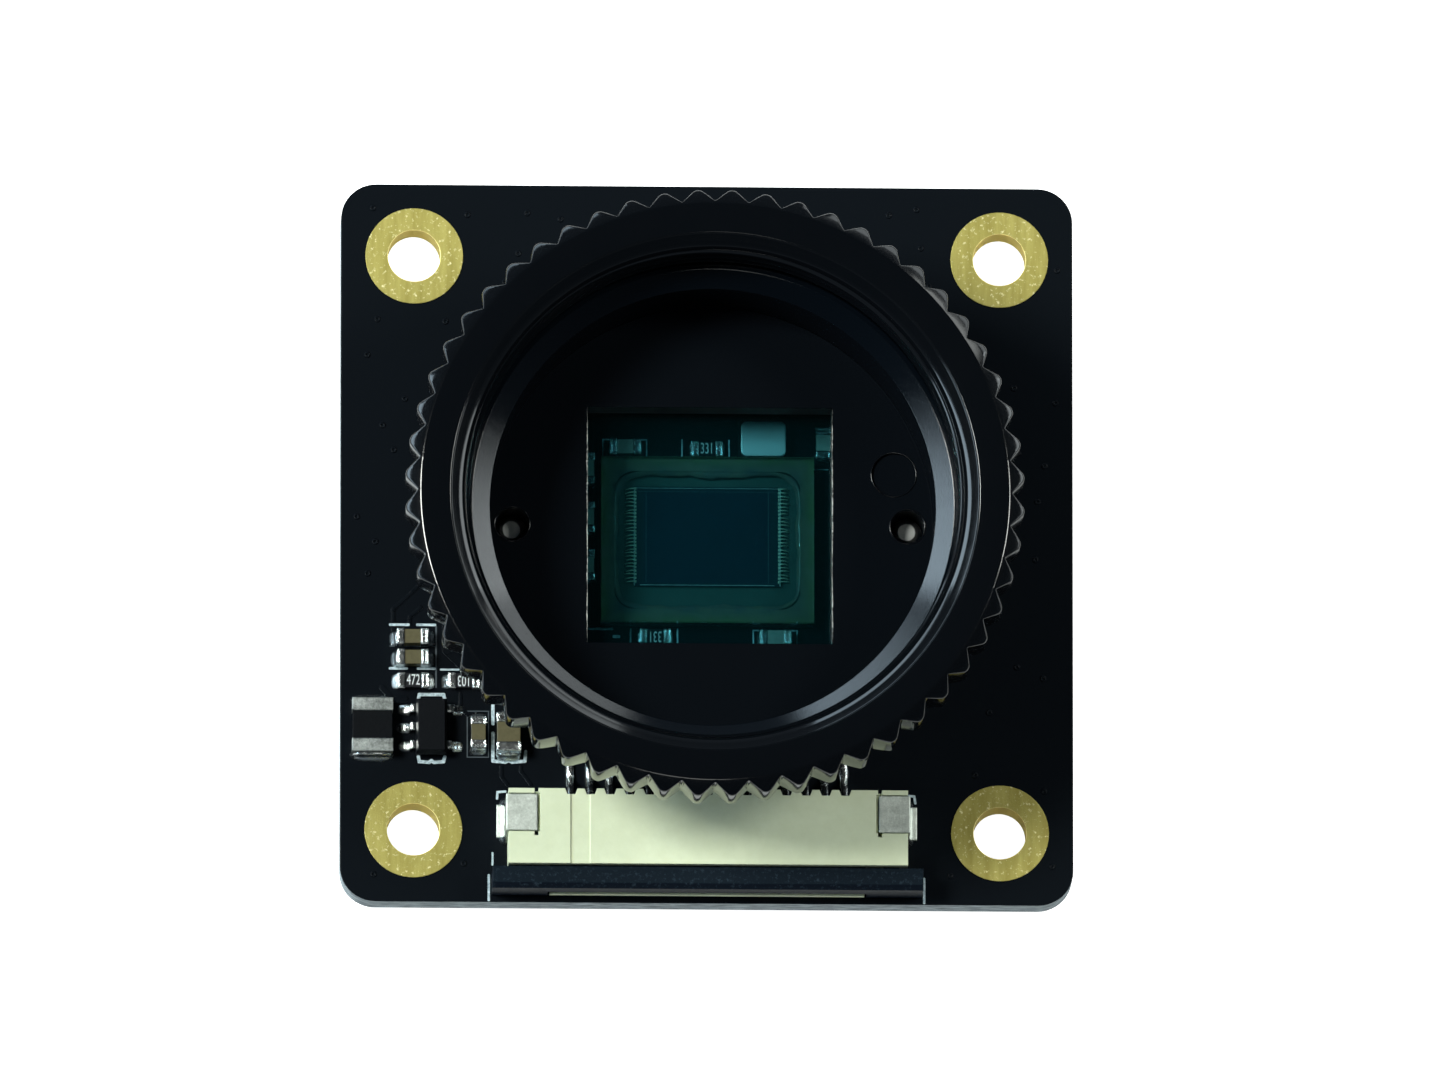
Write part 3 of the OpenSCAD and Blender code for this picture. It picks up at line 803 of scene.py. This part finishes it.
# %% Solder on the board
CONTACTS = 15
LEAD_PITCH = 0.95
BOARD_CHIPS_X = -9       # chips with a smaller x lie outside the mount
places = []
for part in record["subparts"]:
    name = part["node"]
    if name.endswith("_ends"):
        low, high = span(name)
        tall = high[2] - low[2]
        outside = (low[0] + high[0]) / 2 < BOARD_CHIPS_X
        places += chip_ends(name, min(0.62 * tall, 0.6), 0.36 if outside else 0.16)
contact_low, contact_high = span("connector_contacts")
contact_x = np.linspace(contact_low[0] + 0.15, contact_high[0] - 0.15, CONTACTS)
tail_y = contact_high[1] - 0.75
places += [(x, tail_y, 90, 0.52, 0.26, 0.85) for x in contact_x]
places += [(x, tail_y, 270, 0.46, 0.3, 0.62) for x in contact_x]
lead_low, lead_high = span("regulator_leads")
lead_y = (lead_low[1] + lead_high[1]) / 2 + np.array([LEAD_PITCH, 0, -LEAD_PITCH])
places += [(lead_low[0] + 0.3, y, 180, 0.62, 0.24, 0.62) for y in lead_y]
places += [(lead_high[0] - 0.3, y, 0, 0.62, 0.24, 0.62) for y in lead_y[[0, 2]]]
anchor_low, anchor_high = span("connector_anchors")
for side in (-1, 1):
    edge_x = side * (anchor_high[0] - 0.5)
    middle_y = (anchor_low[1] + anchor_high[1]) / 2
    places.append((edge_x, middle_y, 0 if side > 0 else 180, 2.5, 1.3, 0.42))
make_piece("solder", *fillets(places, 4), "camera", "tinned_metal", finishes["tinned_metal"])
print("solder fillets:", len(places))

# %% [markdown]
# ## Printed lines
# The board's print is a layer of paint, a few hundredths of a millimetre thick. It could be
# painted by a material, but then its edges would be soft and its shine the mask's. Each line is
# made as a flat bar with tapered ends instead.


# %% Bars on a plane
def bars(lines, height, z):
    """Flat bars between point pairs; each line is (x0, y0, x1, y1, width).

    An outline point is an end of the line, plus or minus half the width along it and half the
    width across it, each times 1 or 0.4. Neighbouring bars differ a little in height, so that
    no two tops share a plane where they meet.
    """
    lines = np.array(lines, float)
    start, end, half = lines[:, :2], lines[:, 2:4], lines[:, 4:] / 2
    along = end - start
    along /= np.linalg.norm(along, axis=1, keepdims=True)
    side = np.stack([-along[:, 1], along[:, 0]], 1)
    outline = [start - along * half * a + side * half * b for a, b in ((1, 0.4), (0.4, 1))]
    outline += [end + along * half * a + side * half * b for a, b in ((0.4, 1), (1, 0.4))]
    outline += [end + along * half * a - side * half * b for a, b in ((1, 0.4), (0.4, 1))]
    outline += [start - along * half * a - side * half * b for a, b in ((0.4, 1), (1, 0.4))]
    outline = np.stack(outline, 1)[:, ::-1]
    count = outline.shape[1]
    level = z + height * (1 + 0.12 * (np.arange(len(lines)) % 3))[:, None, None]
    top = np.concatenate([outline, level + 0 * outline[..., :1]], -1)
    low = np.concatenate([outline, np.full((*outline.shape[:2], 1), z - 0.01)], -1)
    points = np.concatenate([top, low], 1).reshape(-1, 3)
    base = np.arange(len(lines))[:, None, None] * 2 * count
    i = np.arange(count)
    j = (i + 1) % count
    walls = (np.stack([i, i + count, j + count, j], 1)[None] + base).reshape(-1, 4)
    caps = np.array([(0, 1, 2, 3), (0, 3, 4, 7), (4, 5, 6, 7)])
    tops = (caps[None] + base).reshape(-1, 4)
    lows = (caps[None, :, ::-1] + count + base).reshape(-1, 4)
    return points, np.concatenate([walls, tops, lows])


def path(width, *points):
    """Bars along a run of points."""
    return [(*a, *b, width) for a, b in zip(points[:-1], points[1:])]


# %% [markdown]
# ### Lines round the chips
# Each small chip is framed at its corners, and the larger ones have a line with a nick for the
# side that matters. Lines of two more kinds are worn until they are almost gone.

# %% Lines round the chips
CHIP_PRINT = 0.13
FRAME_PRINT = 0.17
print_lines = []
for y, ends in ((-4.31, ((-16.2, -15.26), (-14.81, -13.91))),
                (-6.59, ((-16.2, -15.35), (-14.77, -13.93)))):
    for x0, x1 in ends:
        print_lines += path(CHIP_PRINT, (x0, y), (x1, y))
print_lines += path(0.1, (-13.6, -6.64), (-12.7, -6.64))
print_lines += path(FRAME_PRINT, (-14.75, -8.18), (-14.7, -7.95), (-13.46, -7.95), (-13.4, -8.18))
print_lines += path(FRAME_PRINT, (-14.75, -11.2), (-14.7, -11.45), (-14.2, -11.49), (-14.08, -11.4),
                    (-13.95, -11.49), (-13.46, -11.45), (-13.4, -11.2))
print_lines += path(FRAME_PRINT, (-10.94, -7.96), (-10.94, -9.45))
print_lines += path(FRAME_PRINT, (-10.94, -9.95), (-10.94, -11.4), (-10.3, -11.45),
                    (-10.12, -11.36), (-9.95, -11.45), (-9.3, -11.4), (-9.26, -10.9))
print_lines += path(0.12, (-11.14, -17.36), (-11.14, -18.65))
print_lines += path(0.1, (-10.95, -16.2), (-10.95, -16.8))
print_lines += path(0.12, (-10.72, -13.35), (-10.7, -13.02), (-10.3, -12.98))
print_lines += path(0.12, (11.12, -17.4), (11.12, -18.65))
print_lines += path(0.12, (10.3, -13.07), (10.62, -13.1), (10.67, -13.45))
faint_lines = path(0.07, (-16.2, -5.42), (-13.9, -5.42))
faint_lines += path(0.09, (-13.85, -4.4), (-13.85, -7.55))
faint_lines += path(0.05, (-12.25, -8.8), (-12.25, -11.2), (-11.16, -11.2), (-11.16, -8.8),
                    (-12.25, -8.8))
print("print bars on the board:", len(print_lines) + len(faint_lines))

# %% [markdown]
# ### Lines beside the sensor
# The chips under the window have marks of the same kind: a stroke between the two ends of four of
# them, and a bracket at each end of two.

# %% Lines beside the sensor
inner_lines = []
for x, y in ((-1.27, 5.0), (1.14, 5.0), (-3.9, -4.9), (-1.5, -4.9)):
    inner_lines += path(0.08, (x, y + 0.45), (x, y - 0.45))
for x, y in ((-4.2, 4.95), (3.5, -4.98)):
    inner_lines += path(0.07, (x + 0.8, y + 0.5), (x + 1.12, y + 0.5), (x + 1.12, y - 0.4))
    inner_lines += path(0.07, (x - 0.8, y + 0.5), (x - 1.12, y + 0.5), (x - 1.12, y - 0.4))
inner_lines += path(0.07, (5.45, 4.2), (5.45, 3.95), (6.2, 3.95))
inner_lines += path(0.13, (-6.0, -4.45), (-4.85, -4.45))
inner_lines += path(0.16, (-4.75, -4.85), (-4.5, -4.85))
print("print bars beside the sensor:", len(inner_lines))

# %% [markdown]
# ### The paint
# Thin white print lets the black below show through its worn, grainy parts, so its colour comes
# from fine noise between a dark and a light tone.


# %% Printed paint
def print_paint():
    """Thin white print: the black below shows through its worn, grainy parts."""
    material = new_material("print_paint", (0.45, 0.58, 0.62), 0.6)
    t = Tree(material)
    t.color(t.mix(t.ramp(t.noise(7000, 4, 0.7), 0.35, 0.65), (0.22, 0.3, 0.34), (0.62, 0.74, 0.78)))
    return material


def plain_paint(name, color):
    material = new_material(name, color, 0.6)
    t = Tree(material)
    t.color(t.mix(t.noise(9000, 3), tuple(0.7 * c for c in color), color))
    return material


on_board = bars(print_lines + inner_lines, 0.02, deck)
make_piece("silkscreen", *on_board, "camera", "ivory_plastic", print_paint(), smooth=False)
faint_paint = plain_paint("faint_paint", (0.05, 0.07, 0.085))
worn = bars(faint_lines, 0.015, deck)
make_piece("worn_print", *worn, "camera", "ivory_plastic", faint_paint, smooth=False)
print("print made")

# %% [markdown]
# ## Copper under the mask
# Traces lie under the solder mask and only show as low ridges, so they are bars again, with the
# mask's own material.

# %% Traces
trace_lines = path(0.22, (-16.05, -4.9), (-16.05, -3.5), (-15.1, -2.6), (-14.2, -1.7))
trace_lines += path(0.22, (-15.2, -4.3), (-15.2, -3.9), (-14.65, -3.4))
trace_lines += path(0.2, (-10.5, -11.7), (-10.5, -12.2), (-10.2, -12.6))
trace_lines += path(0.2, (-9.5, -11.7), (-9.5, -11.9), (-9.0, -12.6))
trace_lines += path(0.5, (-13.3, -4.2), (-13.3, -5.6), (-12.6, -6.3))
trace_lines += path(0.3, (-16.6, -7.6), (-16.1, -8.2), (-15.4, -8.2))
trace_lines += path(0.2, (-12.6, -7.9), (-12.6, -8.6), (-12.2, -9.0))
make_piece("traces", *bars(trace_lines, 0.018, deck), "camera", "solder_mask",
           finishes["solder_mask"], smooth=False)
print("trace bars:", len(trace_lines))

# %% [markdown]
# ## Vias
# A via joins the layers of the board. Under the mask it shows as a low ring with a sunk middle.
# There are a few dozen, spread unevenly near the sides, so random places are drawn and those that
# fall on a part or too near another are dropped.

# %% Vias
VIA_REACH = 18           # from the board's middle to the farthest via
VIA_TRIES = 400
VIA_APART = 1.3


def via_places():
    """Random places on the board, clear of the parts and pads and not too near each other."""
    rng = np.random.default_rng(11)
    x = rng.uniform(-VIA_REACH, VIA_REACH, VIA_TRIES)
    y = rng.uniform(-VIA_REACH, VIA_REACH, VIA_TRIES)
    ring = np.hypot(x, y) < ring_r + 0.5
    pads = np.hypot(np.abs(x) - hole_xy, np.abs(y) - hole_xy) < 3
    chips = (x < -8.5) & (y < -3.5) & (y > -12.5)
    connector = (np.abs(x) < 11.6) & (y < -11)
    clear = ~(ring | pads | chips | connector)
    x, y = x[clear], y[clear]
    apart = np.hypot(x[:, None] - x, y[:, None] - y) + 100 * np.tri(len(x))
    keep = apart.min(0) > VIA_APART
    return np.stack([x[keep], y[keep]], 1)


def via_rings(places):
    """Low rings with a sunk middle: points are (r cos a, r sin a, height at r)."""
    rows, columns = 7, 20
    r = np.linspace(0.02, 0.19, rows)
    height = np.array([0.002, 0.002, 0.003, 0.011, 0.011, 0.006, -0.003])
    angle = np.arange(columns) * 2 * math.pi / columns
    shape = np.stack([np.outer(r, np.cos(angle)), np.outer(r, np.sin(angle)),
                      deck + np.outer(height, np.ones(columns))], -1).reshape(-1, 3)
    core, under = shape[:columns].copy(), shape[-columns:].copy()
    core[:, 2] = under[:, 2] = deck - 0.02
    one = np.concatenate([core, shape, under])
    points = one[None] + np.concatenate([places, np.zeros((len(places), 1))], 1)[:, None]
    faces = grid_faces(rows + 2, columns, True, True)
    all_faces = faces[None] + np.arange(len(places))[:, None, None] * len(one)
    return points.reshape(-1, 3), all_faces.reshape(-1, 4)


spots = via_places()
make_piece("vias", *via_rings(spots), "camera", "solder_mask", finishes["solder_mask"])
print("vias:", len(spots))

# %% [markdown]
# ## Numbers on the resistors
# A chip resistor carries three digits. A text curve gives plain ones. It is made a mesh before it
# is squeezed, turned and moved, so that the object itself stays at the origin.

# %% Numbers on the resistors
DIGIT_SIZE = 0.8
DIGIT_WIDTH = 0.58       # share of the letter's own width


def number_mesh(text, size, x, y, z, turn):
    """Plain digits as a thin mesh, centred on a point and turned about Z."""
    curve = bpy.data.curves.new("digits", "FONT")
    curve.body, curve.size = text, size * MM
    curve.align_x, curve.align_y = "CENTER", "CENTER"
    curve.extrude = 0.004 * MM
    shape = bpy.data.objects.new("digits", curve)
    bpy.context.scene.collection.objects.link(shape)
    bpy.context.view_layer.update()
    evaluated = shape.evaluated_get(bpy.context.evaluated_depsgraph_get())
    mesh = bpy.data.meshes.new_from_object(evaluated)
    bpy.data.objects.remove(shape)
    bpy.data.curves.remove(curve)
    place = Matrix.Translation((x * MM, y * MM, z * MM))
    narrow = Matrix.Diagonal((DIGIT_WIDTH, 1, 1, 1))
    mesh.transform(place @ Matrix.Rotation(math.radians(turn), 4, "Z") @ narrow)
    return mesh


number_paint = plain_paint("number_paint", (0.8, 0.84, 0.84))
for index, text in enumerate(("472", "103", "331", "331"), 1):
    low, high = span(f"resistor_{index}_body")
    middle = (low + high) / 2
    turn = 180 if index in (2, 4) else 0
    mesh = number_mesh(text, DIGIT_SIZE, middle[0], middle[1], high[2] + 0.002, turn)
    mesh.materials.clear()
    mesh.materials.append(number_paint)
    digits = bpy.data.objects.new(f"resistor_number_{index}", mesh)
    bpy.context.scene.collection.objects.link(digits)
    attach(digits, "camera")
print("resistor numbers made:", index)

# %% [markdown]
# ## Bond wires
# Fine wires join the chip's pads to its carrier along both short sides. Each is a thin tube along
# an arc. All are one array: a seeded random number changes the reach and the slant of each, since
# a row of equal wires would look drawn.

# %% Bond wires and pads
WIRES = 27
wire_y = np.linspace(die_low[1] + 0.25, die_high[1] - 0.1, WIRES)
WIRE_R = 0.03
WIRE_ARC = 0.1           # how far the middle of a wire rises
pad_x = die_high[0] - 0.09


def bond_wires():
    """Tubes along arcs from pad to carrier.

    At a share t of the way, a wire is out by reach t, along by slant t, and at the height of the
    pad - drop t^3 + arc sin(pi t). The tube's section is a circle round that.
    """
    rng = np.random.default_rng(7)
    side = np.repeat([-1.0, 1.0], WIRES)
    y = np.tile(wire_y, 2)
    steps, around = 9, 6
    t = np.linspace(0, 1, steps)
    reach = 0.52 + rng.uniform(-0.05, 0.05, 2 * WIRES)
    x = side[:, None] * (pad_x + reach[:, None] * t)
    drop = die_high[2] - die_low[2]
    z = die_high[2] + 0.012 - drop * t ** 3 + WIRE_ARC * np.sin(math.pi * t)
    slant = rng.uniform(-0.06, 0.06, 2 * WIRES)[:, None] * t
    center = np.stack([x, y[:, None] + slant, z + 0 * x], -1)
    along = np.gradient(center, axis=1)
    along /= np.linalg.norm(along, axis=-1, keepdims=True)
    first = np.cross(along, (0, 1, 0))
    first /= np.linalg.norm(first, axis=-1, keepdims=True)
    second = np.cross(along, first)
    a = np.arange(around) * 2 * math.pi / around
    circle = first[:, :, None] * np.cos(a)[:, None] + second[:, :, None] * np.sin(a)[:, None]
    tube = center[:, :, None] + WIRE_R * circle
    faces = grid_faces(steps, around, False, True)
    ends = np.array([[0, 1, 2, 3], [0, 3, 4, 5]])
    faces = np.concatenate([faces, ends, ends[:, ::-1] + (steps - 1) * around])
    all_faces = faces[None] + np.arange(2 * WIRES)[:, None, None] * steps * around
    return tube.reshape(-1, 3), all_faces.reshape(-1, 4)


gold_wire = wire_gold()
wires = make_piece("bond_wires", *bond_wires(), "camera", "gold_plating", gold_wire)
die_top = die_high[2]
pad_bars = [(side * pad_x, y - 0.035, side * pad_x, y + 0.035, 0.07)
            for side in (-1, 1) for y in wire_y]
make_piece("bond_pads", *bars(pad_bars, 0.008, die_top), "camera", "gold_plating", gold_wire,
           smooth=False)
print("bond wires:", 2 * WIRES, "quads:", len(wires.data.polygons))

# %% [markdown]
# ## Lines on the die
# A thin bright metal rim runs round the die, and fainter lines frame the light-sensitive field
# inside it. They are bars a few thousandths of a millimetre high.

# %% Lines on the die
edge_x, y0, y1 = die_high[0] - 0.02, die_low[1] + 0.05, die_high[1] - 0.05
rim_lines = path(0.05, (-edge_x, y0), (-edge_x, y1))
rim_lines += path(0.06, (edge_x, y0), (edge_x, y1))
rim_lines += path(0.03, (-edge_x, y1 - 0.02), (edge_x, y1 - 0.02))
rim_lines += path(0.035, (-edge_x + 0.3, y0 + 0.02), (edge_x - 0.3, y0 + 0.02))
make_piece("die_rim", *bars(rim_lines, 0.005, die_top), "camera", "lid_metal",
           finishes["lid_metal"], smooth=False)
field_x = die_high[0] - 0.62
field_lines = path(0.025, (-field_x, y0 + 0.15), (-field_x, y1 - 0.15))
field_lines += path(0.025, (field_x, y0 + 0.15), (field_x, y1 - 0.15))
field_lines += path(0.02, (-edge_x + 0.2, y1 - 0.2), (edge_x - 0.2, y1 - 0.2))
make_piece("field_lines", *bars(field_lines, 0.004, die_top), "camera", "silicon",
           plain_paint("field_paint", (0.09, 0.13, 0.15)), smooth=False)
print("bars on the die:", len(rim_lines) + len(field_lines))

# %% [markdown]
# ## The adhesive bead
# A bead of adhesive with a wavy edge seals the cover glass inside the dam. It is squeezed out
# unevenly, so its width is a sum of slow and quick waves round the rounded rectangle.


# %% Adhesive bead
def adhesive_bead():
    """Bead round the dam's inside.

    The outer radius at angle a is (|cos a / half_x|^7 + |sin a / half_y|^7)^(-1/7), a rounded
    rectangle. The inner face bulges in from it by width(a) sin(pi t), t going from 0 to 1 up
    the bead.
    """
    columns, rows = 240, 9
    angle = np.arange(columns) * 2 * math.pi / columns
    dam_low, dam_high = span("sensor_dam")
    half = (dam_high[:2] - dam_low[:2]) / 2 - 0.66
    c, s = np.cos(angle), np.sin(angle)
    out = (np.abs(c / half[0]) ** 7 + np.abs(s / half[1]) ** 7) ** (-1 / 7)
    wave = 0.05 * np.sin(5 * angle + 1) + 0.04 * np.sin(13 * angle) + 0.025 * np.sin(29 * angle + 2)
    width = np.clip(0.2 + 0.12 * np.abs(s) + wave, 0.06, 0.4)
    t = np.linspace(0, 1, rows)[:, None]
    radius = out - width * np.sin(math.pi * t)
    z = (dam_low[2] + 0.05) + (dam_high[2] - dam_low[2] - 0.09) * t
    points = np.stack([radius * c, radius * s, z + 0 * radius], -1)
    back = points[::-1].copy()
    back[..., :2] = np.stack([(out + 0.02) * c, (out + 0.02) * s], -1)
    shape = np.concatenate([points, back[1:-1]])
    faces = grid_faces(shape.shape[0], columns, True, True)
    return shape.reshape(-1, 3), faces[:, ::-1]


bead = make_piece("adhesive_bead", *adhesive_bead(), "camera", "adhesive",
                  finishes["adhesive"])
print("adhesive bead:", len(bead.data.polygons), "quads")

# %% [markdown]
# ## Moulding flash and floor beads
# Where the mould's halves met round the window, a thin uneven ridge of plastic is left on the two
# long edges. The floor also has a thin raised ring where a pin pushed the part out of its mould,
# and one round each screw hole. All are tubes half sunk in the floor: the ridges with a radius
# that varies, the rings with an even one. The ridges are painted pale grey in uneven patches, a
# painted glint along the window's edges.

# %% Moulding flash and floor beads
WINDOW_HALF = 6.25
WINDOW_REACH = 6.1       # the flash stops this far from the window's middle


def window_flash():
    """Ridges along the window's two long edges: tubes whose radius and path are smoothed noise."""
    rng = np.random.default_rng(3)
    steps, around = 160, 7
    t = np.linspace(0, 1, steps)
    a = np.arange(around) * 2 * math.pi / around
    pieces, faces = [], []
    for index, side in enumerate((-1, 1)):
        rough = np.convolve(rng.normal(0, 1, steps + 8), np.ones(9) / 9, "valid")
        y = WINDOW_REACH * (2 * t - 1)
        x = side * (WINDOW_HALF + 0.015 + 0.02 * rough)
        r = (0.028 + 0.022 * rough) * np.clip(12 * np.minimum(t, 1 - t), 0.1, 1)
        tube = np.stack([x[:, None] + r[:, None] * np.cos(a), np.repeat(y[:, None], around, 1),
                         floor_top + 0.01 + np.abs(r[:, None]) * np.sin(a)], -1)
        pieces.append(tube.reshape(-1, 3))
        faces.append(grid_faces(steps, around, False, True, index * steps * around))
    return np.concatenate(pieces), np.concatenate(faces)


# Painted light: pale grey patches on the black ridge stand in for the glint along the window's
# edges.
def flash_plastic():
    material = new_material("flash_plastic", (0.16, 0.17, 0.16), 0.3)
    t = Tree(material)
    t.color(t.mix(t.ramp(t.noise(2600, 4, 0.8), 0.42, 0.6), (0.01, 0.012, 0.013), (0.5, 0.53, 0.5)))
    return material


def bead_rings(places, tube_r):
    """Thin rings, each (x, y, radius): ((r + s cos a) cos b, (r + s cos a) sin b, s sin a)."""
    columns, around = 60, 8
    angle = np.arange(columns) * 2 * math.pi / columns
    a = np.arange(around) * 2 * math.pi / around
    x, y, r = np.array(places, float).T[:, :, None, None]
    reach = r + tube_r * np.cos(a)
    points = np.stack([x + reach * np.cos(angle)[:, None], y + reach * np.sin(angle)[:, None],
                       floor_top + tube_r * np.sin(a) + 0 * (reach * angle[:, None])], -1)
    faces = grid_faces(columns, around, True, True)
    all_faces = faces[None] + np.arange(len(places))[:, None, None] * columns * around
    return points.reshape(-1, 3), all_faces.reshape(-1, 4)


marks = [(9.4, 2.7, 1.15), (10.1, 0, 0.9), (-10.1, 0, 0.9)]
make_piece("floor_beads", *bead_rings(marks, 0.035), "camera", "base_plastic",
           finishes["ring_black"])
flash = make_piece("window_flash", *window_flash(), "camera", "base_plastic", flash_plastic())
print("floor beads:", len(marks), "flash quads:", len(flash.data.polygons))

# %% [markdown]
# ## The floor
# The object stands on plain white paper. Lamps alone would leave the paper grey, or would have to
# be so strong that they wash the object out, so the paper glows for the camera and through the
# clear sheets. It lies a little below the object, because two faces in one plane would flicker.

# %% Floor
FLOOR_HALF = 1500
floor_z = cad_box[0][2] / MM - 0.02
floor_mesh = bpy.data.meshes.new("floor")
floor_points = np.array([(-1, -1), (1, -1), (1, 1), (-1, 1)]) * FLOOR_HALF
floor_mesh.from_pydata([(x * MM, y * MM, floor_z * MM) for x, y in floor_points], [],
                       [(0, 1, 2, 3)])
floor = bpy.data.objects.new("floor", floor_mesh)
bpy.context.scene.collection.objects.link(floor)


def floor_paper():
    """White paper that glows for camera rays and through clear sheets, so it stays white."""
    material = new_material("floor_paper", (0.86, 0.86, 0.86), 0.9)
    tree = material.node_tree
    shader = tree.nodes["Principled BSDF"]
    ray = tree.nodes.new("ShaderNodeLightPath")
    seen = tree.nodes.new("ShaderNodeMath")
    seen.operation = "MAXIMUM"
    tree.links.new(ray.outputs["Is Camera Ray"], seen.inputs[0])
    tree.links.new(ray.outputs["Is Transmission Ray"], seen.inputs[1])
    shader.inputs["Emission Color"].default_value = (1, 1, 1, 1)
    tree.links.new(seen.outputs[0], shader.inputs["Emission Strength"])
    return material


floor_mesh.materials.append(floor_paper())
print(f"floor at {floor_z:.2f} mm")

# %% [markdown]
# ## Lights
# Black plastic shows almost nothing but reflections, so the lamps are placed by what each surface
# should mirror. Two long soft boxes stand low on the west and east and draw the bright bands in
# the base's rim, with weaker ones beside them that carry the bands further round. Two keys from
# higher up light the connector past the ring. Straight above stays dim, so that the level black
# parts stay black.

# %% Light helpers
LIGHT_CENTER = np.array([0, 0, 8])     # what the lamps face


def face_back(aim, up):
    """Euler angles that turn -Z away from the direction, with local Y as near up as can be."""
    z = Vector(aim)
    x = Vector(up).cross(z).normalized()
    return Matrix((x, z.cross(x), z)).transposed().to_euler()


def at(azimuth, elevation):
    """Unit direction from an azimuth (from +X towards +Y) and an elevation, in degrees."""
    a, e = math.radians(azimuth), math.radians(elevation)
    return np.array([math.cos(a) * math.cos(e), math.sin(a) * math.cos(e), math.sin(e)])


def soft_box(name, azimuth, elevation, distance, size, strength, color):
    """Rectangular area lamp on a direction from the object, turned to face it; millimetres."""
    data = bpy.data.lights.new(name, "AREA")
    data.shape = "RECTANGLE"
    data.size, data.size_y = size[0] * MM, size[1] * MM
    data.energy = strength
    data.color = color
    lamp = bpy.data.objects.new(name, data)
    aim = at(azimuth, elevation)
    lamp.location = ((LIGHT_CENTER + aim * distance) * MM).tolist()
    lamp.rotation_euler = face_back(aim, (0, 0, 1))
    bpy.context.scene.collection.objects.link(lamp)

# %% [markdown]
# ### The lamps
# A lamp's brightness is its power over its area, so the large boxes need more power than the
# small ones to look as bright. The west side is cooler, the keys are neutral.

# %% Lamps
COOL, PALE_COOL, NEUTRAL = (0.72, 0.93, 1.08), (0.9, 0.98, 1.0), (0.97, 1.0, 0.95)
soft_box("west_box", 172, 22, 600, (560, 150), 2.0, COOL)
soft_box("northwest_box", 127, 14, 600, (440, 100), 0.65, COOL)
soft_box("east_box", 14, 19, 600, (420, 110), 0.75, PALE_COOL)
soft_box("northeast_box", 52, 17, 600, (400, 110), 0.4, PALE_COOL)
soft_box("chamfer_box", 47, 29, 600, (150, 70), 0.17, (0.95, 1.0, 0.98))
soft_box("west_key", 167, 54, 700, (180, 180), 5.4, NEUTRAL)
soft_box("east_key", 14, 51, 700, (150, 150), 1.75, NEUTRAL)
soft_box("front_box", -95, 60, 700, (150, 150), 0.25, NEUTRAL)
print("lamps:", len(bpy.data.lights))

# %% [markdown]
# ### The room
# The world fills the shadows: a dim top and a brighter belt near the horizon, as in a room with
# pale walls. The camera itself sees white where it looks past the floor.


# %% Room light
def room_light():
    """World light: a dim top, a brighter belt, and white where the camera looks past the floor."""
    world = bpy.data.worlds.new("room")
    bpy.context.scene.world = world
    world.use_nodes = True
    tree = world.node_tree
    background = tree.nodes["Background"]
    place = tree.nodes.new("ShaderNodeTexCoord")
    split = tree.nodes.new("ShaderNodeSeparateXYZ")
    tree.links.new(place.outputs["Generated"], split.inputs[0])
    ramp = tree.nodes.new("ShaderNodeValToRGB")
    tree.links.new(split.outputs["Z"], ramp.inputs["Fac"])
    ramp.color_ramp.elements[0].position = 0.1
    ramp.color_ramp.elements[0].color = (0.13, 0.16, 0.19, 1)
    ramp.color_ramp.elements[1].position = 0.6
    ramp.color_ramp.elements[1].color = (0.006, 0.01, 0.013, 1)
    ray = tree.nodes.new("ShaderNodeLightPath")
    mix = tree.nodes.new("ShaderNodeMix")
    mix.data_type = "RGBA"
    tree.links.new(ray.outputs["Is Camera Ray"], mix.inputs[0])
    tree.links.new(ramp.outputs["Color"], mix.inputs[6])
    mix.inputs[7].default_value = (1, 1, 1, 1)
    tree.links.new(mix.outputs[2], background.inputs["Color"])
    background.inputs["Strength"].default_value = 1.0


room_light()
print("room light set")

# %% [markdown]
# ## Camera
# The view is from far off, through a long lens, so that the ring is not drawn larger than the
# board below it. It leans 12 degrees from straight above towards the connector's side, and a
# little towards the west.

# %% Camera
TILT_SOUTH = 12.0        # degrees off the vertical, towards the ribbon connector
TILT_WEST = 1.95         # degrees off the vertical, towards -X
CAMERA_DISTANCE = 2200.0
VIEW_WIDTH = 73.7        # width of the view at the board
AIM = np.array([0.68, 0.24, deck])
camera_data = bpy.data.cameras.new("camera")
camera = bpy.data.objects.new("camera", camera_data)
bpy.context.scene.collection.objects.link(camera)
toward = np.array([-math.tan(math.radians(TILT_WEST)), -math.tan(math.radians(TILT_SOUTH)), 1])
toward /= np.linalg.norm(toward)
camera.location = ((AIM + toward * CAMERA_DISTANCE) * MM).tolist()
camera.rotation_euler = face_back(toward, (0, 1, 0))
camera_data.lens = camera_data.sensor_width * CAMERA_DISTANCE / VIEW_WIDTH
camera_data.clip_start, camera_data.clip_end = 0.01, 10
bpy.context.scene.camera = camera
bpy.context.scene.view_settings.view_transform = "Standard"
print(f"camera lens {camera_data.lens:.0f} mm")
